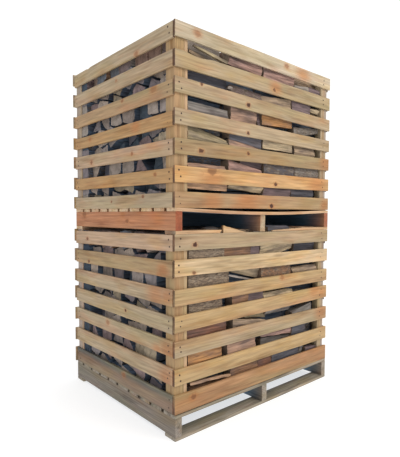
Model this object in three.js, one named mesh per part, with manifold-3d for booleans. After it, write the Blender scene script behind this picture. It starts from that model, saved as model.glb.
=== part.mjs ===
// A load of split oak firewood in two slatted pallet crates, one standing on the other.
// Each crate is a stringer pallet with four slatted sides nailed to uprights in its corners,
// and four bays of logs that lie across the load, stacked end to end.
// Millimetres, +Z up. The front, with the fork openings, faces -Y; the stringers' long side faces -X.
import * as THREE from 'three';
import { mergeVertices } from 'three/addons/utils/BufferGeometryUtils.js';
import Module from 'manifold-3d';

const wasm = await Module();
wasm.setup();

// The whole load
const LOAD_WIDTH = 1233;
const LOAD_DEPTH = 1016;
const LOWER_HEIGHT = 954;
const UPPER_HEIGHT = 943;
const GAP = 0.3;
const BITE = 0.5;

// The pallet: 48 x 40 inches, its left side a little inside the slats
const PALLET_LEFT = 14;
const BOARD_THICK = 15.9;
const BOARD_WIDE = 80;
const STRINGER_WIDE = 38;
const STRINGER_HIGH = 88.9;
const STRINGER_MIDDLE = { lower: 635, upper: 606 };
const DECK_TOP = 2 * BOARD_THICK + STRINGER_HIGH;
// Where the open slits between the ten deck boards lie, from the front, and how wide they are
const DECK_SLITS = {
  lower: [100, 203, 308, 405, 523, 624, 723, 828, 936],
  upper: [77, 178, 289, 396, 499, 616, 714, 818, 915],
};
const SLIT_WIDE = 20;
const SAG_STEPS = 4;
const UPPER_DROP = 15;
const STUB_LEFT = 300;
const STUB_RIGHT = 985;
const SPLINTER_END = 690;
const SPLINTER_DEEP = 24;
const SHARD_FROM = 312;
const SHARD_TO = 474;
const SHARD_HIGH = 38;

// The slatted sides
const SLAT_THICK = 12;
const SIDE_INSET = 6;
const FRONT_START = 10;
const POST_WIDE = 54;
const POST_DEEP = 67;
const CLEAT_WIDE = 19;
const EDGE_WIDE = 22;
const UPRIGHT_WIDE = 38;
const UPRIGHT_DEEP = 40;

// The firewood
const BAY_ENDS = [95, 367, 615, 890, 1138];
const LAYERS = 9;
const ROWS = 8;
const LOG_CORNERS = 4;
const LAYER_SHIFT = 0.12;
const LOG_SCATTER = 0.16;
const RING_REACH = 0.66;
const END_REACH = 0.52;
const LOG_FRONT = 16;
const FACE_SCATTER = 14;
const END_NEAR = 28;
const END_FAR = 62;
const END_PROUD = 15;
// Two logs at the lower crate's front that stand up into the upper pallet's fork openings
const PEAK_OUTLINE = [[0, -60], [76, -60], [68, -12], [26, 0], [4, -9]];
const PEAKS = {
  lower: {
    0: { from: 280, to: 366, y: 86, top: 982 },
    2: { from: 700, to: 889, y: 36, top: 986 },
  },
  upper: {},
};

const COLOURS = {
  pallet: 0xa89678,
  slat: 0xc9a878,
  wood: 0x8f7665,
};

// Heights above the crate's own base of each slat: its top at both ends, and how high it is
const UPPER_SIDES = {
  front: [[943, 943, 70], [818, 821, 75], [701, 687, 69], [563, 559, 70], [431, 443, 71], [309, 317, 74], [193, 197, 72]],
  left: [[940, 936, 74], [816, 816, 73], [689, 684, 70], [549, 549, 64], [428, 438, 72], [299, 305, 67], [189, 189, 68]],
};
const LOWER_SIDES = {
  front: [[953, 953, 74], [837, 832, 76], [701, 704, 74], [580, 597, 76], [462, 461, 75], [333, 331, 76], [213, 208, 87]],
  left: [[952, 942, 76], [832, 826, 77], [702, 703, 78], [578, 585, 80], [465, 461, 73], [338, 334, 78], [212, 206, 85]],
};

// A solid of an outline drawn across an axis, from one place on that axis to another.
// The outline's pairs are (y, z) along x, (x, z) along y and (x, y) along z.
function prism(axis, outline, from, to) {
  const pairs = axis === 'y' ? outline.map(([x, z]) => [z, x]) : outline;
  const shape = new THREE.Shape(pairs.map(([a, b]) => new THREE.Vector2(a, b)));
  const geometry = new THREE.ExtrudeGeometry(shape, { depth: to - from, bevelEnabled: false });
  geometry.translate(0, 0, from);
  const x = new THREE.Vector3(1, 0, 0);
  const y = new THREE.Vector3(0, 1, 0);
  const z = new THREE.Vector3(0, 0, 1);
  const frames = { x: [y, z, x], y: [z, x, y], z: [x, y, z] };
  return geometry.applyMatrix4(new THREE.Matrix4().makeBasis(...frames[axis]));
}

function box([x0, x1], [y0, y1], [z0, z1]) {
  return prism('z', [[x0, y0], [x1, y0], [x1, y1], [x0, y1]], z0, z1);
}

// Closed solids that overlap a little, joined into one body
function join(geometries) {
  const solids = geometries.map((geometry) => {
    const bare = geometry.clone();
    bare.deleteAttribute('normal');
    bare.deleteAttribute('uv');
    const merged = mergeVertices(bare);
    const vertProperties = Float32Array.from(merged.attributes.position.array);
    const triVerts = Uint32Array.from(merged.index.array);
    return new wasm.Manifold(new wasm.Mesh({ numProp: 3, vertProperties, triVerts }));
  });
  const whole = wasm.Manifold.union(solids).getMesh();
  const geometry = new THREE.BufferGeometry();
  geometry.setAttribute('position', new THREE.BufferAttribute(Float32Array.from(whole.vertProperties), 3));
  geometry.setIndex(Array.from(whole.triVerts));
  const flat = geometry.toNonIndexed();
  flat.computeVertexNormals();
  return flat;
}

function piece(name, geometry, colour) {
  const material = new THREE.MeshStandardMaterial({ color: colour, roughness: 0.85, metalness: 0 });
  const mesh = new THREE.Mesh(geometry, material);
  mesh.name = name;
  return mesh;
}

// A half turn about the load's upright middle line takes the front side to the back
// and the left side to the right, because the four sides go round the load one way.
function halfTurn(geometry) {
  const turned = geometry.clone().rotateZ(Math.PI);
  return turned.translate(LOAD_WIDTH, LOAD_DEPTH, 0);
}

// One small number after another between 0 and 1, always the same for the same seed
function numbers(seed) {
  let state = seed;
  const next = () => {
    state = (Math.imul(1664525, state) + 1013904223) >>> 0;
    return state / 4294967296;
  };
  for (let i = 0; i < 5; i += 1) next();
  return next;
}

// The pallet. drop is how far the middle stringer's front end has sunk where the bottom board
// below it broke away; it rises to its full height at the back bottom board, and the deck
// boards bend down with it, less and less towards the back.
function pallet(crate, drop) {
  const group = new THREE.Group();
  const right = LOAD_WIDTH;
  const middle = STRINGER_MIDDLE[crate] - STRINGER_WIDE / 2;
  const low = BOARD_THICK + GAP;
  const high = BOARD_THICK + STRINGER_HIGH - GAP;
  const back = LOAD_DEPTH - BOARD_WIDE;
  const sunk = (y) => drop * Math.max(0, 1 - y / back);

  const places = { left: PALLET_LEFT, middle, right: right - STRINGER_WIDE };
  for (const [side, x] of Object.entries(places)) {
    const fall = side === 'middle' ? drop : 0;
    const under = [[0, low - fall], [back, low], [LOAD_DEPTH, low]];
    const outline = [...under, [LOAD_DEPTH, high], [back, high], [0, high - fall]];
    const stringer = prism('x', outline, x, x + STRINGER_WIDE);
    group.add(piece(`${crate}_stringer_${side}`, stringer, COLOURS.pallet));
  }

  const slits = DECK_SLITS[crate];
  for (let i = 0; i <= slits.length; i += 1) {
    const near = i === 0 ? 0 : slits[i - 1] + SLIT_WIDE / 2;
    const far = i === slits.length ? LOAD_DEPTH : slits[i] - SLIT_WIDE / 2;
    const board = prism('y', deckOutline(sunk(far)), near, far);
    group.add(piece(`${crate}_deck_board_${i + 1}`, board, COLOURS.pallet));
  }

  const rear = box([PALLET_LEFT, right], [back, LOAD_DEPTH], [0, BOARD_THICK]);
  group.add(piece(`${crate}_bottom_board_back`, rear, COLOURS.pallet));
  if (drop > 0) {
    const left = brokenBoard(PALLET_LEFT, STUB_LEFT, 26, STUB_LEFT);
    const torn = brokenBoard(right, STUB_RIGHT, -34, SPLINTER_END);
    group.add(piece(`${crate}_bottom_board_stub_left`, left, COLOURS.pallet));
    group.add(piece(`${crate}_bottom_board_stub_right`, torn, COLOURS.pallet));
  } else {
    const front = box([PALLET_LEFT, right], [0, BOARD_WIDE], [0, BOARD_THICK]);
    group.add(piece(`${crate}_bottom_board_front`, front, COLOURS.pallet));
  }
  return group;
}

// A deck board from the front: flat on the outer stringers, bent by sag between them
function deckOutline(sag) {
  const from = PALLET_LEFT + STRINGER_WIDE;
  const to = LOAD_WIDTH - STRINGER_WIDE;
  const steps = sag > 0 ? SAG_STEPS : 1;
  const bends = [[PALLET_LEFT, 0]];
  for (let s = 0; s <= steps; s += 1) {
    bends.push([from + (to - from) * s / steps, sag * Math.sin(Math.PI * s / steps)]);
  }
  bends.push([LOAD_WIDTH, 0]);
  const under = bends.map(([x, bend]) => [x, DECK_TOP - BOARD_THICK - bend]);
  const over = bends.map(([x, bend]) => [x, DECK_TOP - bend]);
  return [...under, ...over.reverse()];
}

// What is left of a bottom board at one end: sawn at outer, torn across near broken with teeth
// about as long as ragged, and its front edge drawn out to a splinter that ends at tip
function brokenBoard(outer, broken, ragged, tip) {
  const teeth = [0, -1, 0.5, -1, -0.3];
  const span = BOARD_WIDE - SPLINTER_DEEP;
  const torn = teeth.map((tooth, i) => [broken + tooth * ragged, SPLINTER_DEEP + span * i / (teeth.length - 1)]);
  const outline = [[outer, 0], [tip, 0], ...torn, [outer, BOARD_WIDE]];
  return prism('z', outline, 0, BOARD_THICK);
}

// One slat seen square on, its top edge from a to b
function slatOutline(a, b, [topA, topB, high]) {
  return [[a, topA - high], [b, topB - high], [b, topB], [a, topA]];
}

// The front side: slats across the whole load, on a cleat beside the left corner post
// and on an upright in the right corner.
function frontSide(slats, top) {
  const bottom = DECK_TOP + GAP;
  const cleat = SIDE_INSET + SLAT_THICK + POST_WIDE + GAP;
  const upright = LOAD_WIDTH - SIDE_INSET - SLAT_THICK - EDGE_WIDE - GAP - UPRIGHT_WIDE;
  const deep = [SLAT_THICK, SLAT_THICK + UPRIGHT_DEEP];
  const parts = [
    box([cleat, cleat + CLEAT_WIDE], deep, [bottom, top]),
    box([upright, upright + UPRIGHT_WIDE], deep, [bottom, top]),
  ];
  for (const slat of slats) {
    parts.push(prism('y', slatOutline(FRONT_START, LOAD_WIDTH, slat), 0, SLAT_THICK));
  }
  return join(parts);
}

// The left side: shorter slats between the front and back ones, on the corner post
// at the front and on an upright on edge at the back.
function leftSide(slats, top) {
  const bottom = DECK_TOP + GAP;
  const near = SLAT_THICK + GAP;
  const far = LOAD_DEPTH - SLAT_THICK - GAP;
  const inside = SIDE_INSET + SLAT_THICK;
  const parts = [
    box([inside, inside + POST_WIDE], [near, near + POST_DEEP], [bottom, top]),
    box([inside, inside + EDGE_WIDE], [far - POST_DEEP, far], [bottom, top]),
  ];
  for (const slat of slats) {
    parts.push(prism('x', slatOutline(near, far, slat), SIDE_INSET, inside));
  }
  return join(parts);
}

// Where every log of one bay lies: the middle of its section, how the section is turned, how far
// it keeps back from the slats, and how far its end stays from the load's outer side.
function bayLogs(seed, bottom, top) {
  const next = numbers(seed);
  const wide = (LOAD_DEPTH - 2 * LOG_FRONT) / ROWS;
  const high = (top - bottom) / LAYERS;
  const logs = [];
  for (let layer = 0; layer < LAYERS; layer += 1) {
    const shift = layer % 2 === 0 ? LAYER_SHIFT : -LAYER_SHIFT;
    for (let row = 0; row < ROWS; row += 1) {
      const y = LOG_FRONT + (row + 0.5 + shift + (next() - 0.5) * LOG_SCATTER) * wide;
      const z = bottom + (layer + 0.5 + (next() - 0.5) * LOG_SCATTER) * high;
      const turn = next() * Math.PI / 2;
      const face = LOG_FRONT + next() * FACE_SCATTER;
      const end = END_NEAR + next() * (END_FAR - END_NEAR);
      logs.push({ row, layer, y, z, wide, high, turn, face, end, bottom, top });
    }
  }
  return logs;
}

// A log's split section as (y, z) corners, kept inside the stack's front, back, bottom and top.
// reach is how far the corners lie from the middle, as a share of the log's place in the stack.
function logSection(log, reach) {
  const outline = [];
  for (let i = 0; i < LOG_CORNERS; i += 1) {
    const angle = log.turn + i * Math.PI * 2 / LOG_CORNERS;
    const y = log.y + Math.cos(angle) * reach * log.wide;
    const z = log.z + Math.sin(angle) * reach * log.high;
    const inY = Math.min(Math.max(y, log.face), LOAD_DEPTH - log.face);
    outline.push([inY, Math.min(Math.max(z, log.bottom), log.top)]);
  }
  return outline;
}

// One bay of firewood, its logs joined where they press on each other. outer is -1 for the bay
// behind the left side, 1 for the one behind the right side and 0 for those between. The logs
// round the stack's front, back and top are whole. The rest are the stack's heart, which in the
// outer bays reaches between the corner posts, and the ends that stand proud of it. peak, if the
// bay has one, is the log that stands above the others.
function bay(seed, from, to, outer, bottom, top, peak) {
  const logs = bayLogs(seed, bottom, top);
  const { wide, high } = logs[0];
  const a = from + GAP;
  const b = to - GAP;
  const heartFrom = outer < 0 ? END_FAR : a;
  const heartTo = outer > 0 ? LOAD_WIDTH - END_FAR : b;
  const heart = [LOG_FRONT + wide, LOAD_DEPTH - LOG_FRONT - wide];
  const parts = [
    box([heartFrom, heartTo], heart, [bottom, top - high / 2]),
    box([a, b], [LOG_FRONT + wide / 2, LOAD_DEPTH - LOG_FRONT - wide / 2], [bottom, top - high / 2]),
  ];
  const inside = (log) => log.row > 0 && log.row < ROWS - 1;
  const ring = logs.filter((log) => !inside(log) || log.layer === LAYERS - 1);
  for (const log of ring) parts.push(prism('x', logSection(log, RING_REACH), a, b));
  const proud = logs.filter((log) => outer !== 0 && inside(log) && log.end < END_FAR - END_PROUD);
  for (const log of proud) {
    const section = logSection(log, END_REACH);
    if (outer < 0) parts.push(prism('x', section, log.end, END_FAR + BITE));
    else parts.push(prism('x', section, LOAD_WIDTH - END_FAR - BITE, LOAD_WIDTH - log.end));
  }
  if (peak) {
    const outline = PEAK_OUTLINE.map(([y, z]) => [y + peak.y, z + peak.top]);
    parts.push(prism('x', outline, peak.from, peak.to));
  }
  return join(parts);
}

// One crate, standing on z = 0. seeds has one number for each bay of logs, fill is how high
// the logs reach, and drop how far the pallet's middle has sunk at the front.
function crate(name, height, sides, seeds, fill, drop) {
  const group = new THREE.Group();
  group.add(pallet(name, drop));
  const top = height - GAP;
  const front = frontSide(sides.front, top);
  const left = leftSide(sides.left, top);
  group.add(piece(`${name}_slats_front`, front, COLOURS.slat));
  group.add(piece(`${name}_slats_left`, left, COLOURS.slat));
  group.add(piece(`${name}_slats_back`, halfTurn(front), COLOURS.slat));
  group.add(piece(`${name}_slats_right`, halfTurn(left), COLOURS.slat));
  const bays = BAY_ENDS.length - 1;
  for (let i = 0; i < bays; i += 1) {
    const outer = i === 0 ? -1 : i === bays - 1 ? 1 : 0;
    const logs = bay(seeds[i], BAY_ENDS[i], BAY_ENDS[i + 1], outer, DECK_TOP + GAP, fill, PEAKS[name][i]);
    group.add(piece(`${name}_firewood_bay_${i + 1}`, logs, COLOURS.wood));
  }
  return group;
}

// A wedge torn from the broken bottom board stands on the lower crate's top slat, in the gap
function shard() {
  const foot = LOWER_SIDES.front[0][0] + GAP;
  const outline = [[SHARD_FROM, foot], [SHARD_TO, foot], [SHARD_TO - 4, foot + 3], [SHARD_FROM + 2, foot + SHARD_HIGH]];
  return piece('lower_board_shard', prism('y', outline, 0, SLAT_THICK), COLOURS.slat);
}

const load = new THREE.Group();
load.position.set(-LOAD_WIDTH / 2, -LOAD_DEPTH / 2, 0);
load.add(crate('lower', LOWER_HEIGHT, LOWER_SIDES, [69, 35, 14, 68], 951, 0));
load.add(shard());
const upper = crate('upper', UPPER_HEIGHT, UPPER_SIDES, [98, 52, 36, 30], 915, UPPER_DROP);
upper.position.z = LOWER_HEIGHT;
load.add(upper);

const object = new THREE.Group();
object.add(load);
export default object;
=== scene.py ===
# %% [markdown]
# # Split oak firewood in two pallet crates
# The object is a load of split oak logs. Two crates stand one on the other. Each crate is a stringer
# pallet with four slatted sides, and it is stacked full of logs that lie across the load, so that the
# front shows their long sides and the left shows their sawn ends.
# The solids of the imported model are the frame: they say where each board and each bay of logs is.
# In this lesson we build every slat, upright and pallet board as a mesh of its own, in the places where
# the solids are. Every nail and every log is modelled too, and those of one side or one bay are joined.
# Each kind of wood then has its own finish.

# %% The frame
import itertools
import math

import bpy
import numpy as np
from mathutils import Matrix, Vector, noise


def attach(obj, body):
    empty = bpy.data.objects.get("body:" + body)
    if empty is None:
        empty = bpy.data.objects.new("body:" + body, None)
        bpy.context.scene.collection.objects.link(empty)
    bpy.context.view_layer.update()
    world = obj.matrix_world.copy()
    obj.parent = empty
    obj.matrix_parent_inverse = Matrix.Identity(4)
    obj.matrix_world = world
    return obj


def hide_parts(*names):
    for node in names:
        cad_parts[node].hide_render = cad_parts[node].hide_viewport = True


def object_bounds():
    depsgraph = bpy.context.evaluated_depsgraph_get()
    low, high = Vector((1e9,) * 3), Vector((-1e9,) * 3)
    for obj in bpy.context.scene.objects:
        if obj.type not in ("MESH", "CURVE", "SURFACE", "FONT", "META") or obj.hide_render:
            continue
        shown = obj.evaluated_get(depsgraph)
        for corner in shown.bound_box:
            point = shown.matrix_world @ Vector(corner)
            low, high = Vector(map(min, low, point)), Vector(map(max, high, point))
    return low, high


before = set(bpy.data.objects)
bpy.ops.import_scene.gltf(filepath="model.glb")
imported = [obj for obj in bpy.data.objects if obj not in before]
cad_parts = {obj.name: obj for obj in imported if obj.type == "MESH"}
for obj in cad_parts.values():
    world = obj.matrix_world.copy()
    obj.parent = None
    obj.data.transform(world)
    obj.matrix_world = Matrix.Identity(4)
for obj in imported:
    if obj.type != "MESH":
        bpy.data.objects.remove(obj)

cad_low, cad_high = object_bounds()
print("load, metres:", [round(side, 3) for side in cad_high - cad_low])

# %% [markdown]
# ## The camera
# The camera comes first, because everything after it is seen through it. A camera could be turned
# with Euler angles or with a Track To constraint. We build its matrix from three plain angles
# instead: how far it is turned to the right of +Y, how far it looks up, and how far it is rolled. The
# columns of the matrix are then the camera's right, its up and the way back from what it looks at.

# %% Camera
CAMERA_PLACE = Vector((-1.7595, -2.011, 1.040))
CAMERA_TURN = math.radians(41.41)
CAMERA_LIFT = math.radians(-2.89)
CAMERA_ROLL = math.radians(0.25)
LENS_MM = 33.353
SENSOR_MM = 36
SHIFT_RIGHT = -0.0083
SHIFT_UP = 0.0182


def camera_matrix(place, turn, lift, roll):
    ahead = Vector((math.cos(lift) * math.sin(turn), math.cos(lift) * math.cos(turn), math.sin(lift)))
    level = Vector((math.cos(turn), -math.sin(turn), 0))
    over = level.cross(ahead)
    right = math.cos(roll) * level + math.sin(roll) * over
    up = math.cos(roll) * over - math.sin(roll) * level
    turned = Matrix((right, up, -ahead)).transposed()
    return Matrix.Translation(place) @ turned.to_4x4()


lens = bpy.data.cameras.new("camera")
lens.lens = LENS_MM
lens.sensor_width = SENSOR_MM
lens.shift_x = SHIFT_RIGHT
lens.shift_y = SHIFT_UP
camera = bpy.data.objects.new("camera", lens)
camera.matrix_world = camera_matrix(CAMERA_PLACE, CAMERA_TURN, CAMERA_LIFT, CAMERA_ROLL)
bpy.context.scene.collection.objects.link(camera)
bpy.context.scene.camera = camera
print("camera is", round((camera.location - cad_low).length, 2), "m from the load's near corner")

# %% [markdown]
# ## The load's own ruler
# Wood is sawn and nailed in millimetres, so the makers below work in millimetres too, measured from
# the load's left front bottom corner: x to the right along the front, y towards the back, z up. One
# function takes such points into the frame. The back of the load is its front turned half round, and
# the right side is the left side turned the same way, because the four sides go round it one way.

# %% Sizes of the load, in millimetres
MM = 0.001
LOAD_WIDTH = round((cad_high.x - cad_low.x) / MM, 1)
LOAD_DEPTH = round((cad_high.y - cad_low.y) / MM, 1)
LOWER_HEIGHT = 954
UPPER_HEIGHT = 943
GAP = 0.3
BASES = {"lower": 0, "upper": LOWER_HEIGHT}
HEIGHTS = {"lower": LOWER_HEIGHT, "upper": UPPER_HEIGHT}


def in_frame(points, turned=False):
    points = np.asarray(points, float)
    if turned:
        points = np.array((LOAD_WIDTH, LOAD_DEPTH, 0)) + points * (-1, -1, 1)
    return points * MM + np.array(cad_low)


EYE = (np.array(CAMERA_PLACE) - np.array(cad_low)) / MM


def seen_at(x, z, depth):
    """Where x and z really are, depth behind the front, of a point that the eye sees at x, z on it."""
    share = -depth / EYE[1]
    return x + (x - EYE[0]) * share, z + (z - EYE[2]) * share


print("front", LOAD_WIDTH, "mm wide, left side", LOAD_DEPTH, "mm deep")

# %% [markdown]
# ## From points to a piece
# A piece is a list of points and a list of faces. Beside its points a wooden piece needs marks: values
# kept on the points, which the finishes read, such as where a point lies along its board, and which
# tint the board has. They stay with the mesh in any view, and they need no unwrapping.
# Boards and logs are both tubes: a section that is repeated as rings, with a flat cap at either end.
# The caps have points of their own, so that they can have another tint than the sides.

# %% Making a piece
CREASE = math.radians(38)
MARK_TYPES = {1: ("FLOAT", "value"), 3: ("FLOAT_VECTOR", "vector"), 4: ("FLOAT_COLOR", "color")}


def make_piece(name, points, faces, finishes, marks, slot, nodes, face_finishes=None):
    mesh = bpy.data.meshes.new(name)
    mesh.from_pydata(points, [], faces)
    for finish in finishes:
        mesh.materials.append(finish)
    if face_finishes is not None:
        mesh.polygons.foreach_set("material_index", face_finishes)
    for mark, values in marks.items():
        values = np.asarray(values, np.float32)
        kind, field = MARK_TYPES[1 if values.ndim == 1 else values.shape[1]]
        mesh.attributes.new(mark, kind, "POINT").data.foreach_set(field, values.ravel())
    mesh.shade_smooth()
    mesh.set_sharp_from_angle(angle=CREASE)
    piece = bpy.data.objects.new(name, mesh)
    bpy.context.scene.collection.objects.link(piece)
    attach(piece, "root")
    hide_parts(*nodes)


def tube_faces(rings, n):
    """Faces of a tube of rings of n points, and of its two caps, whose own points follow the rings'."""
    faces = []
    for r in range(rings - 1):
        for i in range(n):
            j = (i + 1) % n
            faces.append((r * n + i, r * n + j, (r + 1) * n + j, (r + 1) * n + i))
    faces.append(tuple(rings * n + i for i in reversed(range(n))))
    faces.append(tuple((rings + 1) * n + i for i in range(n)))
    return faces


def own_chance(name):
    """Random numbers of a piece's own, the same at each run, because its name is their seed."""
    return np.random.default_rng(list(name.encode()))


print("marks are kept as", [kind for kind, field in MARK_TYPES.values()])

# %% [markdown]
# ## Colours and nodes
# Colours are written as they look on a screen, as sRGB hex, and one function turns them into the
# linear values that a shader mixes. One small function adds a node with its settings and its links, so
# that a finish reads from top to bottom like a recipe.

# %% Colour and node helpers
def linear(code):
    """An sRGB hex colour as linear red, green, blue and alpha."""
    shares = [int(code[i:i + 2], 16) / 255 for i in (1, 3, 5)]
    return tuple(s / 12.92 if s <= 0.04045 else ((s + 0.055) / 1.055) ** 2.4 for s in shares) + (1.0,)


def add(tree, kind, inputs=None, **settings):
    """Adds a node. An input is a value, the socket that feeds it, or the node whose first output does."""
    node = tree.nodes.new(kind)
    for setting, value in settings.items():
        setattr(node, setting, value)
    for socket, value in (inputs or {}).items():
        if isinstance(value, bpy.types.Node):
            value = value.outputs[0]
        if isinstance(value, bpy.types.NodeSocket):
            tree.links.new(value, node.inputs[socket])
        else:
            node.inputs[socket].default_value = value
    return node


def new_finish(name):
    material = bpy.data.materials.new(name)
    material.use_nodes = True
    material.node_tree.nodes.clear()
    return material, material.node_tree


print("white is", linear("#ffffff"))

# %% [markdown]
# ## Sawn softwood
# The slats, uprights and pallets are sawn pine and spruce. Such a board is cut out of a round trunk, so
# its figure is the trunk's growth rings, cut across. We draw it that way: each board has a pith, a line
# that runs along it some way behind its face, and the rings are cylinders round that line. A Wave
# texture set to rings does this. Nearly straight lines come out where a ring is cut steeply, and long
# flames where it is cut flat, and the end of the board shows arcs, all from one texture. Near the pith
# the wood is redder: that is the heartwood.
# Pine rings are 3 to 6 mm apart. That is about one pixel here, so they are drawn 11 mm apart to show.
# A spot is a knot or a stain, and its place, radius and kind are a mark on the board, so that it can be
# put where the real board has one. A knot is a branch that the saw went through: a dark brown disc in an
# orange stain, and the rings swerve round it. A stain is the soft brown part alone.

# %% Knots and stains in a board
SPOT_MARKS = ("spot_a", "spot_b", "spot_c", "spot_d")
RAGGED = 18 * MM
RAGGED_SCALE = 70
# A branch is cut a little slanting, so a knot is longer along the board than it is high
KNOT_SLANT = (0.75, 1, 0)
# How many radii from a knot's middle its core, its stain and the swerve of the rings end, and are full
KNOT_FADES = ((1.1, 0.7), (2.1, 0.2), (3.0, 0.6))


def wood_spots(tree, board):
    """How much of a point is knot, how much is stain, and how far the rings swerve there."""
    uneven = add(tree, "ShaderNodeTexNoise",
                 {"Vector": board, "Scale": RAGGED_SCALE, "Detail": 2.0}).outputs["Color"]
    pushed = add(tree, "ShaderNodeVectorMath", {0: uneven, 1: (RAGGED, RAGGED, 0), 2: board},
                 operation="MULTIPLY_ADD")
    place = add(tree, "ShaderNodeVectorMath", {0: pushed, 1: (RAGGED / 2, RAGGED / 2, 0)},
                operation="SUBTRACT")
    knot = stain = swerve = 0.0
    for mark in SPOT_MARKS:
        spot = add(tree, "ShaderNodeAttribute", attribute_name=mark)
        centre, kind = spot.outputs["Vector"], spot.outputs["Alpha"]
        radius = add(tree, "ShaderNodeSeparateXYZ", {0: centre}).outputs["Z"]
        away = add(tree, "ShaderNodeVectorMath", {0: place, 1: centre}, operation="SUBTRACT")
        flat = add(tree, "ShaderNodeVectorMath", {0: away, 1: KNOT_SLANT}, operation="MULTIPLY")
        reach = add(tree, "ShaderNodeVectorMath", {0: flat}, operation="LENGTH").outputs["Value"]
        ratio = add(tree, "ShaderNodeMath", {0: reach, 1: radius}, operation="DIVIDE")
        core, halo, pull = (
            add(tree, "ShaderNodeMapRange", {"Value": ratio, "From Min": far, "From Max": near},
                interpolation_type="SMOOTHSTEP")
            for far, near in KNOT_FADES)
        dark = add(tree, "ShaderNodeMath", {0: core, 1: kind}, operation="MULTIPLY")
        knot = add(tree, "ShaderNodeMath", {0: knot, 1: dark}, operation="MAXIMUM")
        stain = add(tree, "ShaderNodeMath", {0: stain, 1: halo}, operation="MAXIMUM")
        lift = add(tree, "ShaderNodeMath", {0: radius, 1: kind}, operation="MULTIPLY")
        swerve = add(tree, "ShaderNodeMath", {0: pull, 1: lift, 2: swerve}, operation="MULTIPLY_ADD")
    return knot, stain, swerve


print("a board can have", len(SPOT_MARKS), "knots and stains")

# %% [markdown]
# ## Growth rings
# The rings are narrow dark lines of late wood on the pale wood of spring, so the wave has the shape of
# a saw's teeth, and a power makes its dark side narrow. They run along the board for longer than any
# noise would by itself, so the pattern is stretched ten times along it.

# %% Rings and pith
RING_PITCH = 11 * MM
# A Wave texture of scale 1 draws its rings this far apart
WAVE_PITCH = 2 * math.pi / 20
RING_STRETCH = (0.1, 1, 1)
LATE_SHARPNESS = 2.5


def growth_rings(tree, trunk, swerve):
    """How late in its year the wood at a point grew, and how far the point is from the pith."""
    lifted = add(tree, "ShaderNodeCombineXYZ", {"Z": swerve})
    swerved = add(tree, "ShaderNodeVectorMath", {0: trunk, 1: lifted}, operation="ADD")
    drawn = add(tree, "ShaderNodeMapping", {"Vector": swerved, "Scale": RING_STRETCH})
    rings = add(tree, "ShaderNodeTexWave",
                {"Vector": drawn, "Scale": WAVE_PITCH / RING_PITCH, "Distortion": 6.0, "Detail": 2.0,
                 "Detail Scale": 0.6, "Detail Roughness": 0.6},
                wave_type="RINGS", rings_direction="X", wave_profile="SAW").outputs["Fac"]
    section = add(tree, "ShaderNodeVectorMath", {0: swerved, 1: (0, 1, 1)}, operation="MULTIPLY")
    from_pith = add(tree, "ShaderNodeVectorMath", {0: section}, operation="LENGTH").outputs["Value"]
    return rings, from_pith


print("rings are drawn", round(RING_PITCH / MM), "mm apart")

# %% [markdown]
# ## The patterns of weather
# Wood takes up water and dirt along its fibres, so each pattern is a noise that is stretched along the
# board: wide patches of amber, of pink and of green damp, narrower ones of dirt, and the fine streaks
# and fibres that make it look like wood from a step away. Each is read one unit further through the
# noise, so that no two have the same patches.

# %% Weather patterns
# Noise scale per metre along, across and through the board, its detail, and the range it is mapped to
WOOD_PATTERNS = {
    "amber": ((4, 13, 13), 2.0, (0.5, 0.66), (0.0, 0.6)),
    "blush": ((5, 17, 17), 3.0, (0.54, 0.7), (0.0, 0.45)),
    "moss": ((1.7, 11, 11), 3.0, (0.48, 0.72), (0.0, 0.6)),
    "dirt": ((3.4, 26, 26), 4.0, (0.54, 0.8), (0.0, 1.0)),
    "streak": ((5, 75, 75), 3.0, (0.3, 0.7), (0.8, 1.12)),
    "fibre": ((9, 210, 210), 2.0, (0.3, 0.7), (0.86, 1.09)),
}


def wood_patterns(tree, trunk):
    pattern = {}
    for part, (scale, detail, (low, high), (least, most)) in WOOD_PATTERNS.items():
        stretched = add(tree, "ShaderNodeMapping",
                        {"Vector": trunk, "Location": (0, 0, len(pattern)), "Scale": scale})
        cloud = add(tree, "ShaderNodeTexNoise", {"Vector": stretched, "Scale": 1, "Detail": detail})
        pattern[part] = add(tree, "ShaderNodeMapRange",
                            {"Value": cloud, "From Min": low, "From Max": high,
                             "To Min": least, "To Max": most})
    return pattern


print("patterns over each other:", ", ".join(WOOD_PATTERNS))

# %% [markdown]
# ## The layers of a board's colour
# The colour is built up in layers over the board's own tint: heartwood, the amber and pink patches, a
# greenish weathering, dirt, stains, rings and knots, and last a painted shade, a dark blue mixed in
# where little light comes. Those that stain the wood multiply, and those that cover it mix.
# Sawn softwood that has stood outdoors is dull, so its roughness is high, about 0.8. IOR is 1.53, as
# for cellulose.

# %% Sawn softwood
WOOD_IOR = 1.53
HEART_NEAR = 25 * MM
HEART_FAR = 55 * MM
HEART_SHARE = 0.32
STAIN_SHARE = 0.6
AMBER = "#fff3cf"
BLUSH = "#ffdccf"
STAIN = "#b9743e"
KNOT = "#4b2a1b"
# Painted shade: the dark blue that the fork ways and the pallet boards' hidden faces are painted towards
PAINTED_SHADE = "#4d7591"
FIBRE_RELIEF = 1.4


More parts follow.
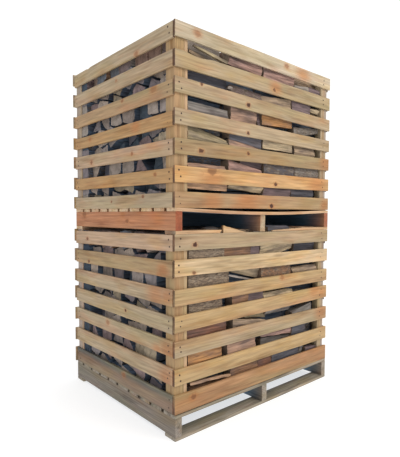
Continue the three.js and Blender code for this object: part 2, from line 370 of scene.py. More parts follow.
def sawn_softwood(name, late, late_share, heart, moss, dirt, roughness=0.8):
    material, tree = new_finish(name)
    board = add(tree, "ShaderNodeAttribute", attribute_name="board").outputs["Vector"]
    pith = add(tree, "ShaderNodeAttribute", attribute_name="pith").outputs["Vector"]
    tint = add(tree, "ShaderNodeAttribute", attribute_name="tint").outputs["Color"]
    # How far each point is painted towards that dark blue: painted shade, read from the board's marks
    grime = add(tree, "ShaderNodeAttribute", attribute_name="grime").outputs["Fac"]
    trunk = add(tree, "ShaderNodeVectorMath", {0: board, 1: pith}, operation="ADD")
    knot, stain, swerve = wood_spots(tree, board)
    pattern = wood_patterns(tree, trunk)
    rings, from_pith = growth_rings(tree, trunk, swerve)
    late_wood = add(tree, "ShaderNodeMath", {0: rings, 1: LATE_SHARPNESS}, operation="POWER")
    late_factor = add(tree, "ShaderNodeMath", {0: late_wood, 1: late_share}, operation="MULTIPLY")
    heart_factor = add(tree, "ShaderNodeMapRange",
                       {"Value": from_pith, "From Min": HEART_FAR, "From Max": HEART_NEAR,
                        "To Max": HEART_SHARE}, interpolation_type="SMOOTHSTEP")
    stain_factor = add(tree, "ShaderNodeMath", {0: stain, 1: STAIN_SHARE}, operation="MULTIPLY")

    colour = tint
    layers = ((heart_factor, heart, "MIX"),
              (pattern["amber"], AMBER, "MULTIPLY"),
              (pattern["blush"], BLUSH, "MULTIPLY"),
              (pattern["moss"], moss, "MIX"),
              (pattern["dirt"], dirt, "MULTIPLY"),
              (stain_factor, STAIN, "MIX"),
              (late_factor, late, "MULTIPLY"),
              (knot, KNOT, "MIX"),
              (grime, PAINTED_SHADE, "MIX"))
    for share, over, way in layers:
        colour = add(tree, "ShaderNodeMix", {0: share, 6: colour, 7: linear(over)},
                     data_type="RGBA", blend_type=way).outputs[2]
    light = add(tree, "ShaderNodeMath", {0: pattern["streak"], 1: pattern["fibre"]}, operation="MULTIPLY")
    shaded = add(tree, "ShaderNodeVectorMath", {0: colour, 3: light}, operation="SCALE")
    relief = add(tree, "ShaderNodeMath", {0: pattern["fibre"], 1: FIBRE_RELIEF, 2: rings},
                 operation="MULTIPLY_ADD")
    bump = add(tree, "ShaderNodeBump", {"Height": relief, "Strength": 0.3, "Distance": 0.001})
    wood = add(tree, "ShaderNodeBsdfPrincipled",
               {"Base Color": shaded, "Roughness": roughness, "IOR": WOOD_IOR, "Normal": bump})
    add(tree, "ShaderNodeOutputMaterial", {"Surface": wood})
    return material


# New pine, yellow with pinkish heartwood, greenish where damp: the slats
sawn_pine = sawn_softwood("sawn_pine_slats", late="#b98d5e", late_share=0.2, heart="#bf8f6c",
                          moss="#a2946a", dirt="#c9bba6")
# The same pine, sawn so that its rings hardly show: the uprights
post_pine = sawn_softwood("sawn_pine_uprights", late="#b98d5e", late_share=0.07, heart="#bf8f6c",
                          moss="#a2946a", dirt="#c9bba6")
# Reddish larch or fir, still fresh: the upper pallet
red_pine = sawn_softwood("red_pine_pallet", late="#a5653f", late_share=0.3, heart="#b8744c",
                         moss="#b98e66", dirt="#cdb9a4")
# Pine after years outdoors, silver grey with dark dirt in it and duller still: the lower pallet
grey_pine = sawn_softwood("weathered_grey_pallet", late="#7d6f60", late_share=0.4, heart="#86735f",
                          moss="#77765f", dirt="#6d6256", roughness=0.88)
print("softwood finishes:", sawn_pine.name, post_pine.name, red_pine.name, grey_pine.name)

# %% [markdown]
# ## Split oak
# A log shows three kinds of surface: split faces, bark and sawn ends. Its split faces were torn open
# along the fibres by a splitter: pinkish tan when fresh, brown grey to purple grey after a season
# outdoors, with long ridges and streaks. One noise, stretched along the fibres, makes both the streaks
# and the relief, and a second, wider one turns parts of the face grey.
# The mark called grain holds a point's place measured from the log's own pith, so every pattern runs
# along the log, and the rings on an end are round the right point.

# %% Split oak faces
WEATHERED_OAK = "#665a5c"


def oak_split_face():
    material, tree = new_finish("split_oak_face")
    grain = add(tree, "ShaderNodeAttribute", attribute_name="grain").outputs["Vector"]
    tint = add(tree, "ShaderNodeAttribute", attribute_name="tint").outputs["Color"]
    long_fibre = add(tree, "ShaderNodeMapping", {"Vector": grain, "Scale": (8, 110, 110)})
    fibre = add(tree, "ShaderNodeTexNoise",
                {"Vector": long_fibre, "Scale": 1, "Detail": 3.0, "Roughness": 0.6})
    patch_place = add(tree, "ShaderNodeMapping", {"Vector": grain, "Scale": (7, 22, 22)})
    patch = add(tree, "ShaderNodeTexNoise",
                {"Vector": patch_place, "Scale": 1, "Detail": 3.0, "Roughness": 0.6})
    weathered = add(tree, "ShaderNodeMapRange",
                    {"Value": patch, "From Min": 0.45, "From Max": 0.7, "To Max": 0.6})
    aged = add(tree, "ShaderNodeMix", {0: weathered, 6: tint, 7: linear(WEATHERED_OAK)},
               data_type="RGBA", blend_type="MIX").outputs[2]
    streak = add(tree, "ShaderNodeMapRange",
                 {"Value": fibre, "From Min": 0.34, "From Max": 0.66, "To Min": 0.5, "To Max": 1.18})
    colour = add(tree, "ShaderNodeVectorMath", {0: aged, 3: streak}, operation="SCALE")
    bump = add(tree, "ShaderNodeBump", {"Height": fibre, "Strength": 0.5, "Distance": 0.004})
    wood = add(tree, "ShaderNodeBsdfPrincipled",
               {"Base Color": colour, "Roughness": 0.82, "IOR": WOOD_IOR, "Normal": bump})
    add(tree, "ShaderNodeOutputMaterial", {"Surface": wood})
    return material


split_face = oak_split_face()
print("made", split_face.name)

# %% [markdown]
# ## Oak bark
# Oak bark is cracked into long narrow ridges with dark furrows between them, and grey lichen grows on
# the ridges. A bent noise, cut off steeply, gives ridges with flat tops, and it is the bump as well.
# The furrows are some 7 mm apart across the log, and the ridges between them about 25 mm long.

# %% Oak bark finish
FURROW = "#6b5c50"
LICHEN = "#a39685"


def oak_bark():
    material, tree = new_finish("oak_bark")
    grain = add(tree, "ShaderNodeAttribute", attribute_name="grain").outputs["Vector"]
    tint = add(tree, "ShaderNodeAttribute", attribute_name="tint").outputs["Color"]
    ridge_place = add(tree, "ShaderNodeMapping", {"Vector": grain, "Scale": (40, 150, 150)})
    ridges = add(tree, "ShaderNodeTexNoise",
                 {"Vector": ridge_place, "Scale": 1, "Detail": 4.0, "Roughness": 0.65, "Distortion": 0.6})
    furrow = add(tree, "ShaderNodeMapRange",
                 {"Value": ridges, "From Min": 0.34, "From Max": 0.62}, interpolation_type="SMOOTHSTEP")
    lichen_place = add(tree, "ShaderNodeMapping", {"Vector": grain, "Scale": (26, 40, 40)})
    lichen = add(tree, "ShaderNodeTexNoise", {"Vector": lichen_place, "Scale": 1, "Detail": 4.0})
    pale = add(tree, "ShaderNodeMapRange",
               {"Value": lichen, "From Min": 0.48, "From Max": 0.64, "To Max": 0.6})
    plate = add(tree, "ShaderNodeMix", {0: pale, 6: tint, 7: linear(LICHEN)},
                data_type="RGBA", blend_type="MIX").outputs[2]
    colour = add(tree, "ShaderNodeMix", {0: furrow, 6: linear(FURROW), 7: plate},
                 data_type="RGBA", blend_type="MIX").outputs[2]
    bump = add(tree, "ShaderNodeBump", {"Height": furrow, "Strength": 0.7, "Distance": 0.004})
    bark = add(tree, "ShaderNodeBsdfPrincipled",
               {"Base Color": colour, "Roughness": 0.9, "IOR": WOOD_IOR, "Normal": bump})
    add(tree, "ShaderNodeOutputMaterial", {"Surface": bark})
    return material


bark_finish = oak_bark()
print("made", bark_finish.name)

# %% [markdown]
# ## Oak end grain
# The ends were sawn across: faint rings round the pith, and dark drying cracks that run out from it.
# Cracks like that are hard to draw with a plain noise. So we turn the place into an angle round the
# pith and a distance from it, and stretch the noise along the distance, which makes it a star. Oak's
# rings are about 2 mm wide, which would not show, so they are drawn 9 mm apart.

# %% Oak end grain finish
OAK_RING_PITCH = 9 * MM
SPOKE_SCALE = (5, 9, 1)


def oak_end_grain():
    material, tree = new_finish("oak_end_grain")
    grain = add(tree, "ShaderNodeAttribute", attribute_name="grain").outputs["Vector"]
    tint = add(tree, "ShaderNodeAttribute", attribute_name="tint").outputs["Color"]
    parts = add(tree, "ShaderNodeSeparateXYZ", {0: grain})
    angle = add(tree, "ShaderNodeMath", {0: parts.outputs["Z"], 1: parts.outputs["Y"]}, operation="ARCTAN2")
    section = add(tree, "ShaderNodeVectorMath", {0: grain, 1: (0, 1, 1)}, operation="MULTIPLY")
    radius = add(tree, "ShaderNodeVectorMath", {0: section}, operation="LENGTH").outputs["Value"]
    spoke = add(tree, "ShaderNodeCombineXYZ", {"X": angle, "Y": radius, "Z": parts.outputs["X"]})
    spokes = add(tree, "ShaderNodeMapping", {"Vector": spoke, "Scale": SPOKE_SCALE})
    checks = add(tree, "ShaderNodeTexNoise", {"Vector": spokes, "Scale": 1, "Detail": 3.0, "Roughness": 0.65})
    crack = add(tree, "ShaderNodeMapRange",
                {"Value": checks, "From Min": 0.34, "From Max": 0.42, "To Min": 0.5, "To Max": 1.0})
    rings = add(tree, "ShaderNodeTexWave",
                {"Vector": section, "Scale": WAVE_PITCH / OAK_RING_PITCH, "Distortion": 2.0, "Detail": 1.0},
                wave_type="RINGS", rings_direction="X").outputs["Fac"]
    faint = add(tree, "ShaderNodeMapRange", {"Value": rings, "To Min": 0.92, "To Max": 1.05})
    weather = add(tree, "ShaderNodeTexNoise", {"Vector": grain, "Scale": 28, "Detail": 3.0})
    patchy = add(tree, "ShaderNodeMapRange",
                 {"Value": weather, "From Min": 0.35, "From Max": 0.65, "To Min": 0.7, "To Max": 1.08})
    even = add(tree, "ShaderNodeMath", {0: crack, 1: faint}, operation="MULTIPLY")
    light = add(tree, "ShaderNodeMath", {0: even, 1: patchy}, operation="MULTIPLY")
    colour = add(tree, "ShaderNodeVectorMath", {0: tint, 3: light}, operation="SCALE")
    bump = add(tree, "ShaderNodeBump", {"Height": light, "Strength": 0.5, "Distance": 0.002})
    wood = add(tree, "ShaderNodeBsdfPrincipled",
               {"Base Color": colour, "Roughness": 0.85, "IOR": WOOD_IOR, "Normal": bump})
    add(tree, "ShaderNodeOutputMaterial", {"Surface": wood})
    return material


end_grain = oak_end_grain()
print("made", end_grain.name)

# %% [markdown]
# ## Nail steel
# The nails are bright when driven and brown a few weeks later. Their heads are 8 mm across. A thin
# skin of rust hides the metal, so the finish is a rough dark brown with little metal left in it.

# %% Rusted nail steel
RUST_SPECK = 2.5 * MM


def rusted_nail_steel():
    material, tree = new_finish("rusted_nail_steel")
    place = add(tree, "ShaderNodeTexCoord").outputs["Object"]
    specks = add(tree, "ShaderNodeTexNoise", {"Vector": place, "Scale": 1 / RUST_SPECK, "Detail": 2.0})
    colour = add(tree, "ShaderNodeMix", {0: specks, 6: linear("#2b211c"), 7: linear("#4d3a2e")},
                 data_type="RGBA", blend_type="MIX").outputs[2]
    steel = add(tree, "ShaderNodeBsdfPrincipled", {"Base Color": colour, "Roughness": 0.6, "Metallic": 0.3})
    add(tree, "ShaderNodeOutputMaterial", {"Surface": steel})
    return material


nail_finish = rusted_nail_steel()
print("made", nail_finish.name)

# %% [markdown]
# ## A sawn board
# A board could be a cube with a bevel. A real one is never that straight: the saw wanders, arrises wear
# round, a waney edge follows the trunk, a long board sags. So we draw the board's section once, with its
# corners rounded, and repeat it as rings along the board. Each ring can then be moved a little, by a
# wander that is smooth along the board and by a bend of the board's own. The two ends are separate flat
# caps with a tint of their own: sawn ends soak up dirt and look much darker than the board, and where
# an end lies in shade its tint holds painted shade as well.

# %% Board section
STATION = 26
ARRIS = 1.8


def board_section(width, thick, across, arris):
    """(v, w) pairs round a board's section, v over its width and w through its thickness."""
    loop = []
    turns = (math.radians(angle) for angle in (180, 270, 0, 90))
    corners = ((arris, arris), (width - arris, arris), (width - arris, thick - arris), (arris, thick - arris))
    for k, ((v, w), turn) in enumerate(zip(corners, turns)):
        for step in (0, 0.5, 1):
            angle = turn + step * math.pi / 2
            loop.append((v + arris * math.cos(angle), w + arris * math.sin(angle)))
        if k in (0, 2):
            from_v, to_v = (arris, width - arris) if k == 0 else (width - arris, arris)
            level = 0 if k == 0 else thick
            loop += [(from_v + (to_v - from_v) * i / (across + 1), level) for i in range(1, across + 1)]
    return np.array(loop)


print("a slat has", len(board_section(72, 12, 2, ARRIS)), "points in each ring")

# %% [markdown]
# ## A board's marks
# The finish asks four things of each point of a board: its place on the board, which is u along it, v
# over its width and w through it; where the board's pith runs, which sets its figure; its tint; and how
# much painted shade it has. Each spot is a mark of its own with the same value all over the board, and
# a board with fewer spots has the rest of them put far outside it.

# %% Board marks
NO_SPOT = (-9000, -9000, 1, 0)
# Where a board's pith runs: in widths over its width, and in mm behind its back face
PITH_OVER = (-0.2, 1.2)
PITH_BEHIND = (12, 50)
# How many metres along its trunk the board begins, so that no two boards show the same stretch
TRUNK_PLACES = (1, 40)


def board_marks(board, width, caps, tint, end_tint, grime, spots, chance):
    """The marks of a board whose last caps points are those of its two sawn ends."""
    count = len(board)
    pith_v = -chance.uniform(*PITH_OVER) * width
    pith_w = chance.uniform(*PITH_BEHIND)
    tints = np.tile(linear(tint), (count, 1))
    tints[-caps:] = linear(end_tint)
    marks = {
        "board": board * MM,
        "pith": np.tile((chance.uniform(*TRUNK_PLACES), pith_v * MM, pith_w * MM), (count, 1)),
        "tint": tints,
        # Painted shade, from a function of the board's points, or none
        "grime": np.zeros(count) if grime is None else grime(*board.T),
    }
    for k, mark in enumerate(SPOT_MARKS):
        spot = spots[k] if k < len(spots) else NO_SPOT
        marks[mark] = np.tile(np.array(spot) * (MM, MM, MM, 1), (count, 1))
    return marks


print("a board's pith runs", PITH_BEHIND, "mm behind it")

# %% [markdown]
# ## A board from its section
# The rings are set along the board's own three directions: ahead along it, up over its width, and out
# of its face. Where the board's two edges wander apart or together, the points between them share the
# wander out. A board that is bent, torn or bitten into gets its bend last, as a function of its points.

# %% Board maker
EDGE_WAVE = 240
FACE_WAVE = 500
# A board's wanders are read from the noise up to this far out, and these steps keep them apart in it
SEED_RANGE = 90
HIGH_STEP = 7
FACE_STEP = 13


def wander(along, seed, size, wave):
    """A smooth random line, up to size from straight, about one bend to each wave of length."""
    return np.array([noise.noise(Vector((u / wave, seed, 0.5))) for u in along]) * size


def make_board(name, start, reach, up, width, thick, finish, tint, end_tint, slot, nodes,
               turned=False, bend=None, across=2, spots=(), grime=None, play=0.8, station=STATION):
    """start is a corner of the board and reach its whole length, in mm. up is the way of its width."""
    chance = own_chance(name)
    start, reach, up = (np.array(each, float) for each in (start, reach, up))
    length = float(np.linalg.norm(reach))
    ahead = reach / length
    out = np.cross(ahead, up)
    loop = board_section(width, thick, across, ARRIS)
    n = len(loop)
    rings = max(2, round(length / station)) + 1
    along = np.linspace(0, length, rings)
    seed = chance.uniform(0, SEED_RANGE)
    low = wander(along, seed, play, EDGE_WAVE)
    high = wander(along, seed + HIGH_STEP, play, EDGE_WAVE)
    bow = wander(along, seed + FACE_STEP, play, FACE_WAVE)
    u = np.repeat(along, n)
    v = np.tile(loop[:, 0], rings)
    w = np.tile(loop[:, 1], rings)
    share = v / width
    moved_v = v + np.repeat(low, n) * (1 - share) + np.repeat(high, n) * share
    moved_w = w + np.repeat(bow, n)
    place = np.stack((u, moved_v, moved_w), 1)
    if bend is not None:
        place = bend(place)
    points = start + place[:, :1] * ahead + place[:, 1:2] * up + place[:, 2:] * out
    points = np.concatenate((points, points[:n], points[-n:]))
    board = np.stack((u, v, w), 1)
    board = np.concatenate((board, board[:n], board[-n:]))
    marks = board_marks(board, width, 2 * n, tint, end_tint, grime, spots, chance)
    make_piece(name, in_frame(points, turned), tube_faces(rings, n), [finish], marks, slot, nodes)


print("a board has a ring about every", STATION, "mm")

# %% [markdown]
# ## The pallets
# Each crate stands on a stringer pallet of 48 by 40 inches: three stringers of 38 by 89 mm, ten deck
# boards on them and bottom boards under them. The lower pallet is weathered grey. The upper one is
# newer and redder, and its front bottom board has broken out: two torn stubs are left of it, the middle
# stringer has sunk at the front, and the deck boards bend down with it.

# %% Pallet sizes and tints
PALLET_LEFT = 14
PALLET_RIGHT = LOAD_WIDTH
BOARD_THICK = 15.9
BOARD_WIDE = 80
STRINGER_WIDE = 38
STRINGER_HIGH = 88.9
STRINGER_MIDDLE = {"lower": 635, "upper": 606}
DECK_TOP = 2 * BOARD_THICK + STRINGER_HIGH
# Where the open slits between the deck boards lie, from the front, and how wide they are
DECK_SLITS = {
    "lower": (100, 203, 308, 405, 523, 624, 723, 828, 936),
    "upper": (77, 178, 289, 396, 499, 616, 714, 818, 915),
}
SLIT_WIDE = 20
DROPS = {"lower": 0, "upper": 15}
PALLET_FINISH = {"lower": grey_pine, "upper": red_pine}
PALLET_SLOT = {"lower": "pallet_wood_lower", "upper": "pallet_wood_upper"}
DECK_TINTS = {
    "lower": ("#a89c8a", "#9c8f7e", "#b0a38f", "#96897a"),
    "upper": ("#cfae8c", "#cda882", "#c79f78", "#d2b08a"),
}
DECK_END_TINTS = {"lower": "#9d9384", "upper": "#d8bf9c"}
# The long faces of each stringer, and its sawn ends
STRINGER_TINTS = {
    "lower": {"left": ("#867c71", "#958c82"), "middle": ("#8a7d6d", "#a09688"),
              "right": ("#8f8271", "#a09688")},
    "upper": {"left": ("#b9835d", "#9c5436"), "middle": ("#b98d68", "#b5a387"),
              "right": ("#a0704f", "#a5674a")},
}
# Spots on the stringers' long faces: how far along, how high, radius, and 1 for a knot to 0 for a stain
STRINGER_SPOTS = {
    ("upper", "left"): ((412, 40, 12, 0.5), (905, 72, 20, 0.35), (455, 75, 16, 0.1), (130, 50, 26, 0)),
}


def sink(crate):
    """How far the pallet's middle has sunk at depth y."""
    back = LOAD_DEPTH - BOARD_WIDE
    return lambda y: DROPS[crate] * np.maximum(0, 1 - y / back)


print("deck top at", DECK_TOP, "mm")

# %% [markdown]
# ## Stringers
# A stringer is the beam that the deck lies on, and it stands on edge. The fork ways between them are
# dark inside, because little light gets in. So the stringers' inner faces and the deck boards'
# undersides carry a painted shade that grows with the distance from the nearest opening. It is a mark
# on the points, so it stays where it is when the view changes.

# %% Stringers
# The painted shade in a fork way grows to full this far in from an opening, and this is the most of it
TUNNEL_DEPTH = 150
DARKEST = 0.92
FACE_SPARE = 0.5
STRINGER_PLAY = 0.25
# Which face of a stringer has no painted shade, by its place through the board: the middle one has none
UNSHADED_FACES = {"left": 0, "middle": -STRINGER_WIDE, "right": STRINGER_WIDE}


def tunnel_painted_shade(unshaded_face):
    """Painted shade inwards from both ends of a stringer, on every face but the one at the w that is given.
    """
    def grime(u, v, w):
        dark = np.clip(np.minimum(u, LOAD_DEPTH - u) / TUNNEL_DEPTH, 0, 1) * DARKEST
        return np.where(np.abs(w - unshaded_face) < ARRIS + FACE_SPARE, 0, dark)
    return grime


def make_stringers(crate):
    places = {"left": PALLET_LEFT, "middle": STRINGER_MIDDLE[crate] - STRINGER_WIDE / 2,
              "right": PALLET_RIGHT - STRINGER_WIDE}
    sunk = sink(crate)

    def fall(place):
        place[:, 1] -= sunk(place[:, 0])
        return place

    for side, x in places.items():
        face_tint, end_tint = STRINGER_TINTS[crate][side]
        start = (x, 0, BASES[crate] + BOARD_THICK + GAP)
        make_board(f"{crate}_pallet_stringer_{side}", start, (0, LOAD_DEPTH, 0), (0, 0, 1),
                   STRINGER_HIGH - 2 * GAP, STRINGER_WIDE, PALLET_FINISH[crate], face_tint, end_tint,
                   PALLET_SLOT[crate], [f"{crate}_stringer_{side}"], bend=fall if side == "middle" else None,
                   spots=STRINGER_SPOTS.get((crate, side), ()), grime=tunnel_painted_shade(UNSHADED_FACES[side]),
                   play=STRINGER_PLAY)


for crate in BASES:
    make_stringers(crate)
print("3 stringers in each pallet")

# %% [markdown]
# ## Deck boards
# Ten boards lie across the stringers with open slits between them, which show as a row of dark marks
# along the left side. The slits aren't even, so each has its own place. Where the upper middle stringer
# has sunk, the boards dip over it in a smooth curve. Their undersides and inner edges carry painted
# shade, and the edges that face out have none.

# %% Deck boards
# Painted shade on a deck board begins this far in from its ends and grows to full over the next span, and a
# rim of the top face and of the outer edges stays free of it
UNSHADED_ENDS = 25
EDGE_FADE = 35
RIM = 3
PALLET_PLAY = 0.1


def deck_sag(sag):
    """How a deck board dips by sag over the middle stringer."""
    left = PALLET_LEFT + STRINGER_WIDE
    right = PALLET_RIGHT - STRINGER_WIDE

    def dip(place):
        share = np.clip((place[:, 0] + PALLET_LEFT - left) / (right - left), 0, 1)
        place[:, 2] -= sag * np.sin(math.pi * share)
        return place
    return dip


def deck_painted_shade(length, wide, first, last):
    """Painted shade on a deck board, but for its top, the front edge of the first and the back edge of the
    last.
    """
    def grime(u, v, w):
        inside = np.clip((np.minimum(u, length - u) - UNSHADED_ENDS) / EDGE_FADE, 0, 1)
        unshaded = (w > BOARD_THICK - RIM) | (first & (v < RIM)) | (last & (v > wide - RIM))
        return np.where(unshaded, 0, inside * DARKEST)
    return grime


def make_deck(crate):
    length = PALLET_RIGHT - PALLET_LEFT
    slits = DECK_SLITS[crate]
    tints = DECK_TINTS[crate]
    nears = [0] + [slit + SLIT_WIDE / 2 for slit in slits]
    fars = [slit - SLIT_WIDE / 2 for slit in slits] + [LOAD_DEPTH]
    for i, (near, far) in enumerate(zip(nears, fars)):
        start = (PALLET_LEFT, near, BASES[crate] + DECK_TOP - BOARD_THICK)
        make_board(f"{crate}_pallet_deck_board_{i + 1}", start, (length, 0, 0), (0, 1, 0), far - near,
                   BOARD_THICK, PALLET_FINISH[crate], tints[i % len(tints)], DECK_END_TINTS[crate],
                   PALLET_SLOT[crate], [f"{crate}_deck_board_{i + 1}"],
                   bend=deck_sag(float(sink(crate)(far))),
                   grime=deck_painted_shade(length, far - near, i == 0, i == len(slits)), play=PALLET_PLAY)


for crate in BASES:
    make_deck(crate)
print(len(DECK_SLITS["lower"]) + 1, "deck boards on each pallet")

# %% [markdown]
# ## Bottom boards
# Under the stringers, one board along the front and one along the back carry the pallet. They are the
# plainest boards of the load. The upper pallet has a whole one at the back only.

# %% Bottom boards
def make_bottom(crate, side, y):
    start = (PALLET_LEFT, y, BASES[crate])
    make_board(f"{crate}_pallet_bottom_board_{side}", start, (PALLET_RIGHT - PALLET_LEFT, 0, 0), (0, 1, 0),
               BOARD_WIDE, BOARD_THICK, PALLET_FINISH[crate], DECK_TINTS[crate][0], DECK_END_TINTS[crate],
               PALLET_SLOT[crate], [f"{crate}_bottom_board_{side}"], play=PALLET_PLAY)


make_bottom("lower", "front", 0)
make_bottom("lower", "back", LOAD_DEPTH - BOARD_WIDE)
make_bottom("upper", "back", LOAD_DEPTH - BOARD_WIDE)
print("3 whole bottom boards")

# %% [markdown]
# ## The broken board
# Wood breaks along its fibres, so the torn end of a board is a row of long splinters. On each stub the
# points near the break are pushed out by a steep random wander across the board's width, and the right
# stub's front edge is drawn out into one long splinter that gets thinner to its tip. The points across
# the board and the rings along it are closer here than on a whole board, or the teeth would be lost.

# %% Torn stubs
TEAR_LENGTH = 70
TOOTH_REACH = 42
TOOTH_WIDE = 11
TOOTH_THICK = 14
TOOTH_MIDDLE = 0.35
STUB_LEFT = 300
STUB_RIGHT = 985
STUB_TINT = "#cfae88"
SPLINTER_END = 690
SPLINTER_DEEP = 24
SPLINTER_WAVE = 19
SPLINTER_RAGGED = 0.16
# The splinter's thickness as a share of the board's: what it tapers to, and the least that is left
TAPER_END = 0.2
TAPER_POWER = 0.7
THINNEST = 0.15
TORN_ACROSS = 12
TORN_STATION = 9


def make_stub(side, start, length, up, tear, splinter, end_tint):
    """splinter is how far the board's front edge reaches beyond the break."""
    sign = 1 if side == "left" else -1
    front_strip = BOARD_WIDE - SPLINTER_DEEP

    def torn(place):
        close = np.clip((place[:, 0] - length + TEAR_LENGTH) / TEAR_LENGTH, 0, 1)
        teeth = np.array([noise.noise(Vector((v / TOOTH_WIDE, w / TOOTH_THICK, tear)))
                          for v, w in place[:, 1:]])
        drawn = np.where(place[:, 1] > front_strip, splinter, 0)
        pushed = close * (teeth - TOOTH_MIDDLE) * TOOTH_REACH * (drawn == 0)
        place[:, 0] += pushed + place[:, 0] / length * drawn
        thin = np.clip((length + splinter - place[:, 0]) / max(splinter, 1), TAPER_END, 1) ** TAPER_POWER
        ragged = np.array([noise.noise(Vector((u / SPLINTER_WAVE, tear, 0)))
                           for u in place[:, 0]]) * SPLINTER_RAGGED
        place[:, 2] *= np.where(drawn > 0, np.clip(thin + ragged * (thin < 1), THINNEST, 1), 1)
        return place

    make_board(f"upper_pallet_bottom_stub_{side}", start, (sign * length, 0, 0), up, BOARD_WIDE,
               BOARD_THICK, red_pine, STUB_TINT, end_tint, "pallet_wood_upper",
               [f"upper_bottom_board_stub_{side}"], bend=torn, across=TORN_ACROSS, play=PALLET_PLAY,
               station=TORN_STATION)


make_stub("left", (PALLET_LEFT, 0, LOWER_HEIGHT), STUB_LEFT - PALLET_LEFT, (0, 1, 0), 2.5, 0, "#8d7d68")
make_stub("right", (PALLET_RIGHT, BOARD_WIDE, LOWER_HEIGHT), PALLET_RIGHT - STUB_RIGHT, (0, -1, 0), 8.5,
          STUB_RIGHT - SPLINTER_END, "#dcc4a0")
print("two stubs are left of the broken board")

# %% [markdown]
# ## The torn wedge
# The wedge that was torn off the broken board stands on the lower crate's top slat, leaning in the gap.
# It is a board whose height runs out to almost nothing at one end, with a ragged upper edge. It sinks
# into the slat by less than a millimetre, so that it stands there without a crack of light under it.

# %% Torn wedge
SHARD_FROM = 312
SHARD_TO = 474
SHARD_HIGH = 38
SHARD_THICK = 11
SHARD_DEPTH = 12
SHARD_SINK = 0.7
SHARD_WAVE = 14
SHARD_RAGGED = 0.12
SHARD_TAPER = 0.95
SHARD_THINNEST = 0.04
SHARD_PLAY = 0.2
SHARD_SEED = 3.5


def run_out(place):
    share = place[:, 0] / (SHARD_TO - SHARD_FROM)
    ragged = np.array([noise.noise(Vector((u / SHARD_WAVE, SHARD_SEED, 0)))
                       for u in place[:, 0]]) * SHARD_RAGGED
    place[:, 1] *= np.clip(1.0 - share * SHARD_TAPER + ragged * (1 - share), SHARD_THINNEST, 1)
    return place


make_board("torn_board_wedge", (SHARD_FROM, SHARD_DEPTH, LOWER_HEIGHT - SHARD_SINK),
           (SHARD_TO - SHARD_FROM, 0, 0), (0, 0, 1), SHARD_HIGH, SHARD_THICK, sawn_pine, "#c3a37c",
           "#a07c58", "slat_wood", ["lower_board_shard"], bend=run_out, play=SHARD_PLAY,
           station=TORN_STATION)
print("and a wedge of it stands on the lower crate")

# %% [markdown]
# ## The slatted sides
# Seven slats of 12 by about 72 mm close each side, nailed to uprights in the corners. No two lie quite
# level, so each slat has its own height at both ends. The front slats cover the ends of the left ones.
# Some boards keep a waney edge, where the trunk's round side shows, and some have a knot or a stain
# that the eye finds again, so those are listed one by one.

# %% Slat sizes
SLAT_THICK = 12
SIDE_INSET = 6
FRONT_START = 10
# For each slat its top at both ends, above the crate's base, and its height
SIDES = {
    ("upper", "front"): [[943, 943, 70], [818, 821, 75], [701, 687, 69], [563, 559, 70], [431, 443, 71],
                         [309, 317, 74], [193, 197, 72]],
    ("upper", "left"): [[940, 936, 74], [816, 816, 73], [689, 684, 70], [549, 549, 64], [428, 438, 72],
                        [299, 305, 67], [189, 189, 68]],
    ("lower", "front"): [[953, 953, 74], [837, 832, 76], [701, 704, 74], [580, 597, 76], [462, 461, 75],
                         [333, 331, 76], [213, 208, 87]],
    ("lower", "left"): [[952, 942, 76], [832, 826, 77], [702, 703, 78], [578, 585, 80], [465, 461, 73],
                        [338, 334, 78], [212, 206, 85]],
}
PINE_TINTS = {
    "pale": "#c6b7a0", "khaki": "#b29e80", "drab": "#a1917a", "straw": "#bfa276", "tan": "#b0916c",
    "honey": "#b68f60", "amber": "#d2a976", "russet": "#ab825a", "rosy": "#bd9f82", "grey": "#616058",
    "light": "#d8bc97", "fawn": "#a38b68",
}
# Sawn end grain, darker than the faces. The front and left slats' ends lie in the near corner's shade, so
# this tint holds painted shade as well, and the uprights' ends share it. The back slats' ends get a lighter
# copy of it, painted as if lit.
END_GRAIN_AND_SHADE_TINT = "#6b5140"
LIT_BACK_END_TINT = "#8a765f"
SLAT_TINTS = {
    ("upper", "front"): ("pale", "khaki", "khaki", "khaki", "fawn", "amber", "tan"),
    ("upper", "left"): ("khaki", "khaki", "tan", "honey", "rosy", "honey", "khaki"),
    ("lower", "front"): ("khaki", "light", "straw", "straw", "khaki", "straw", "russet"),
    ("lower", "left"): ("rosy", "tan", "khaki", "khaki", "khaki", "khaki", "grey"),
}
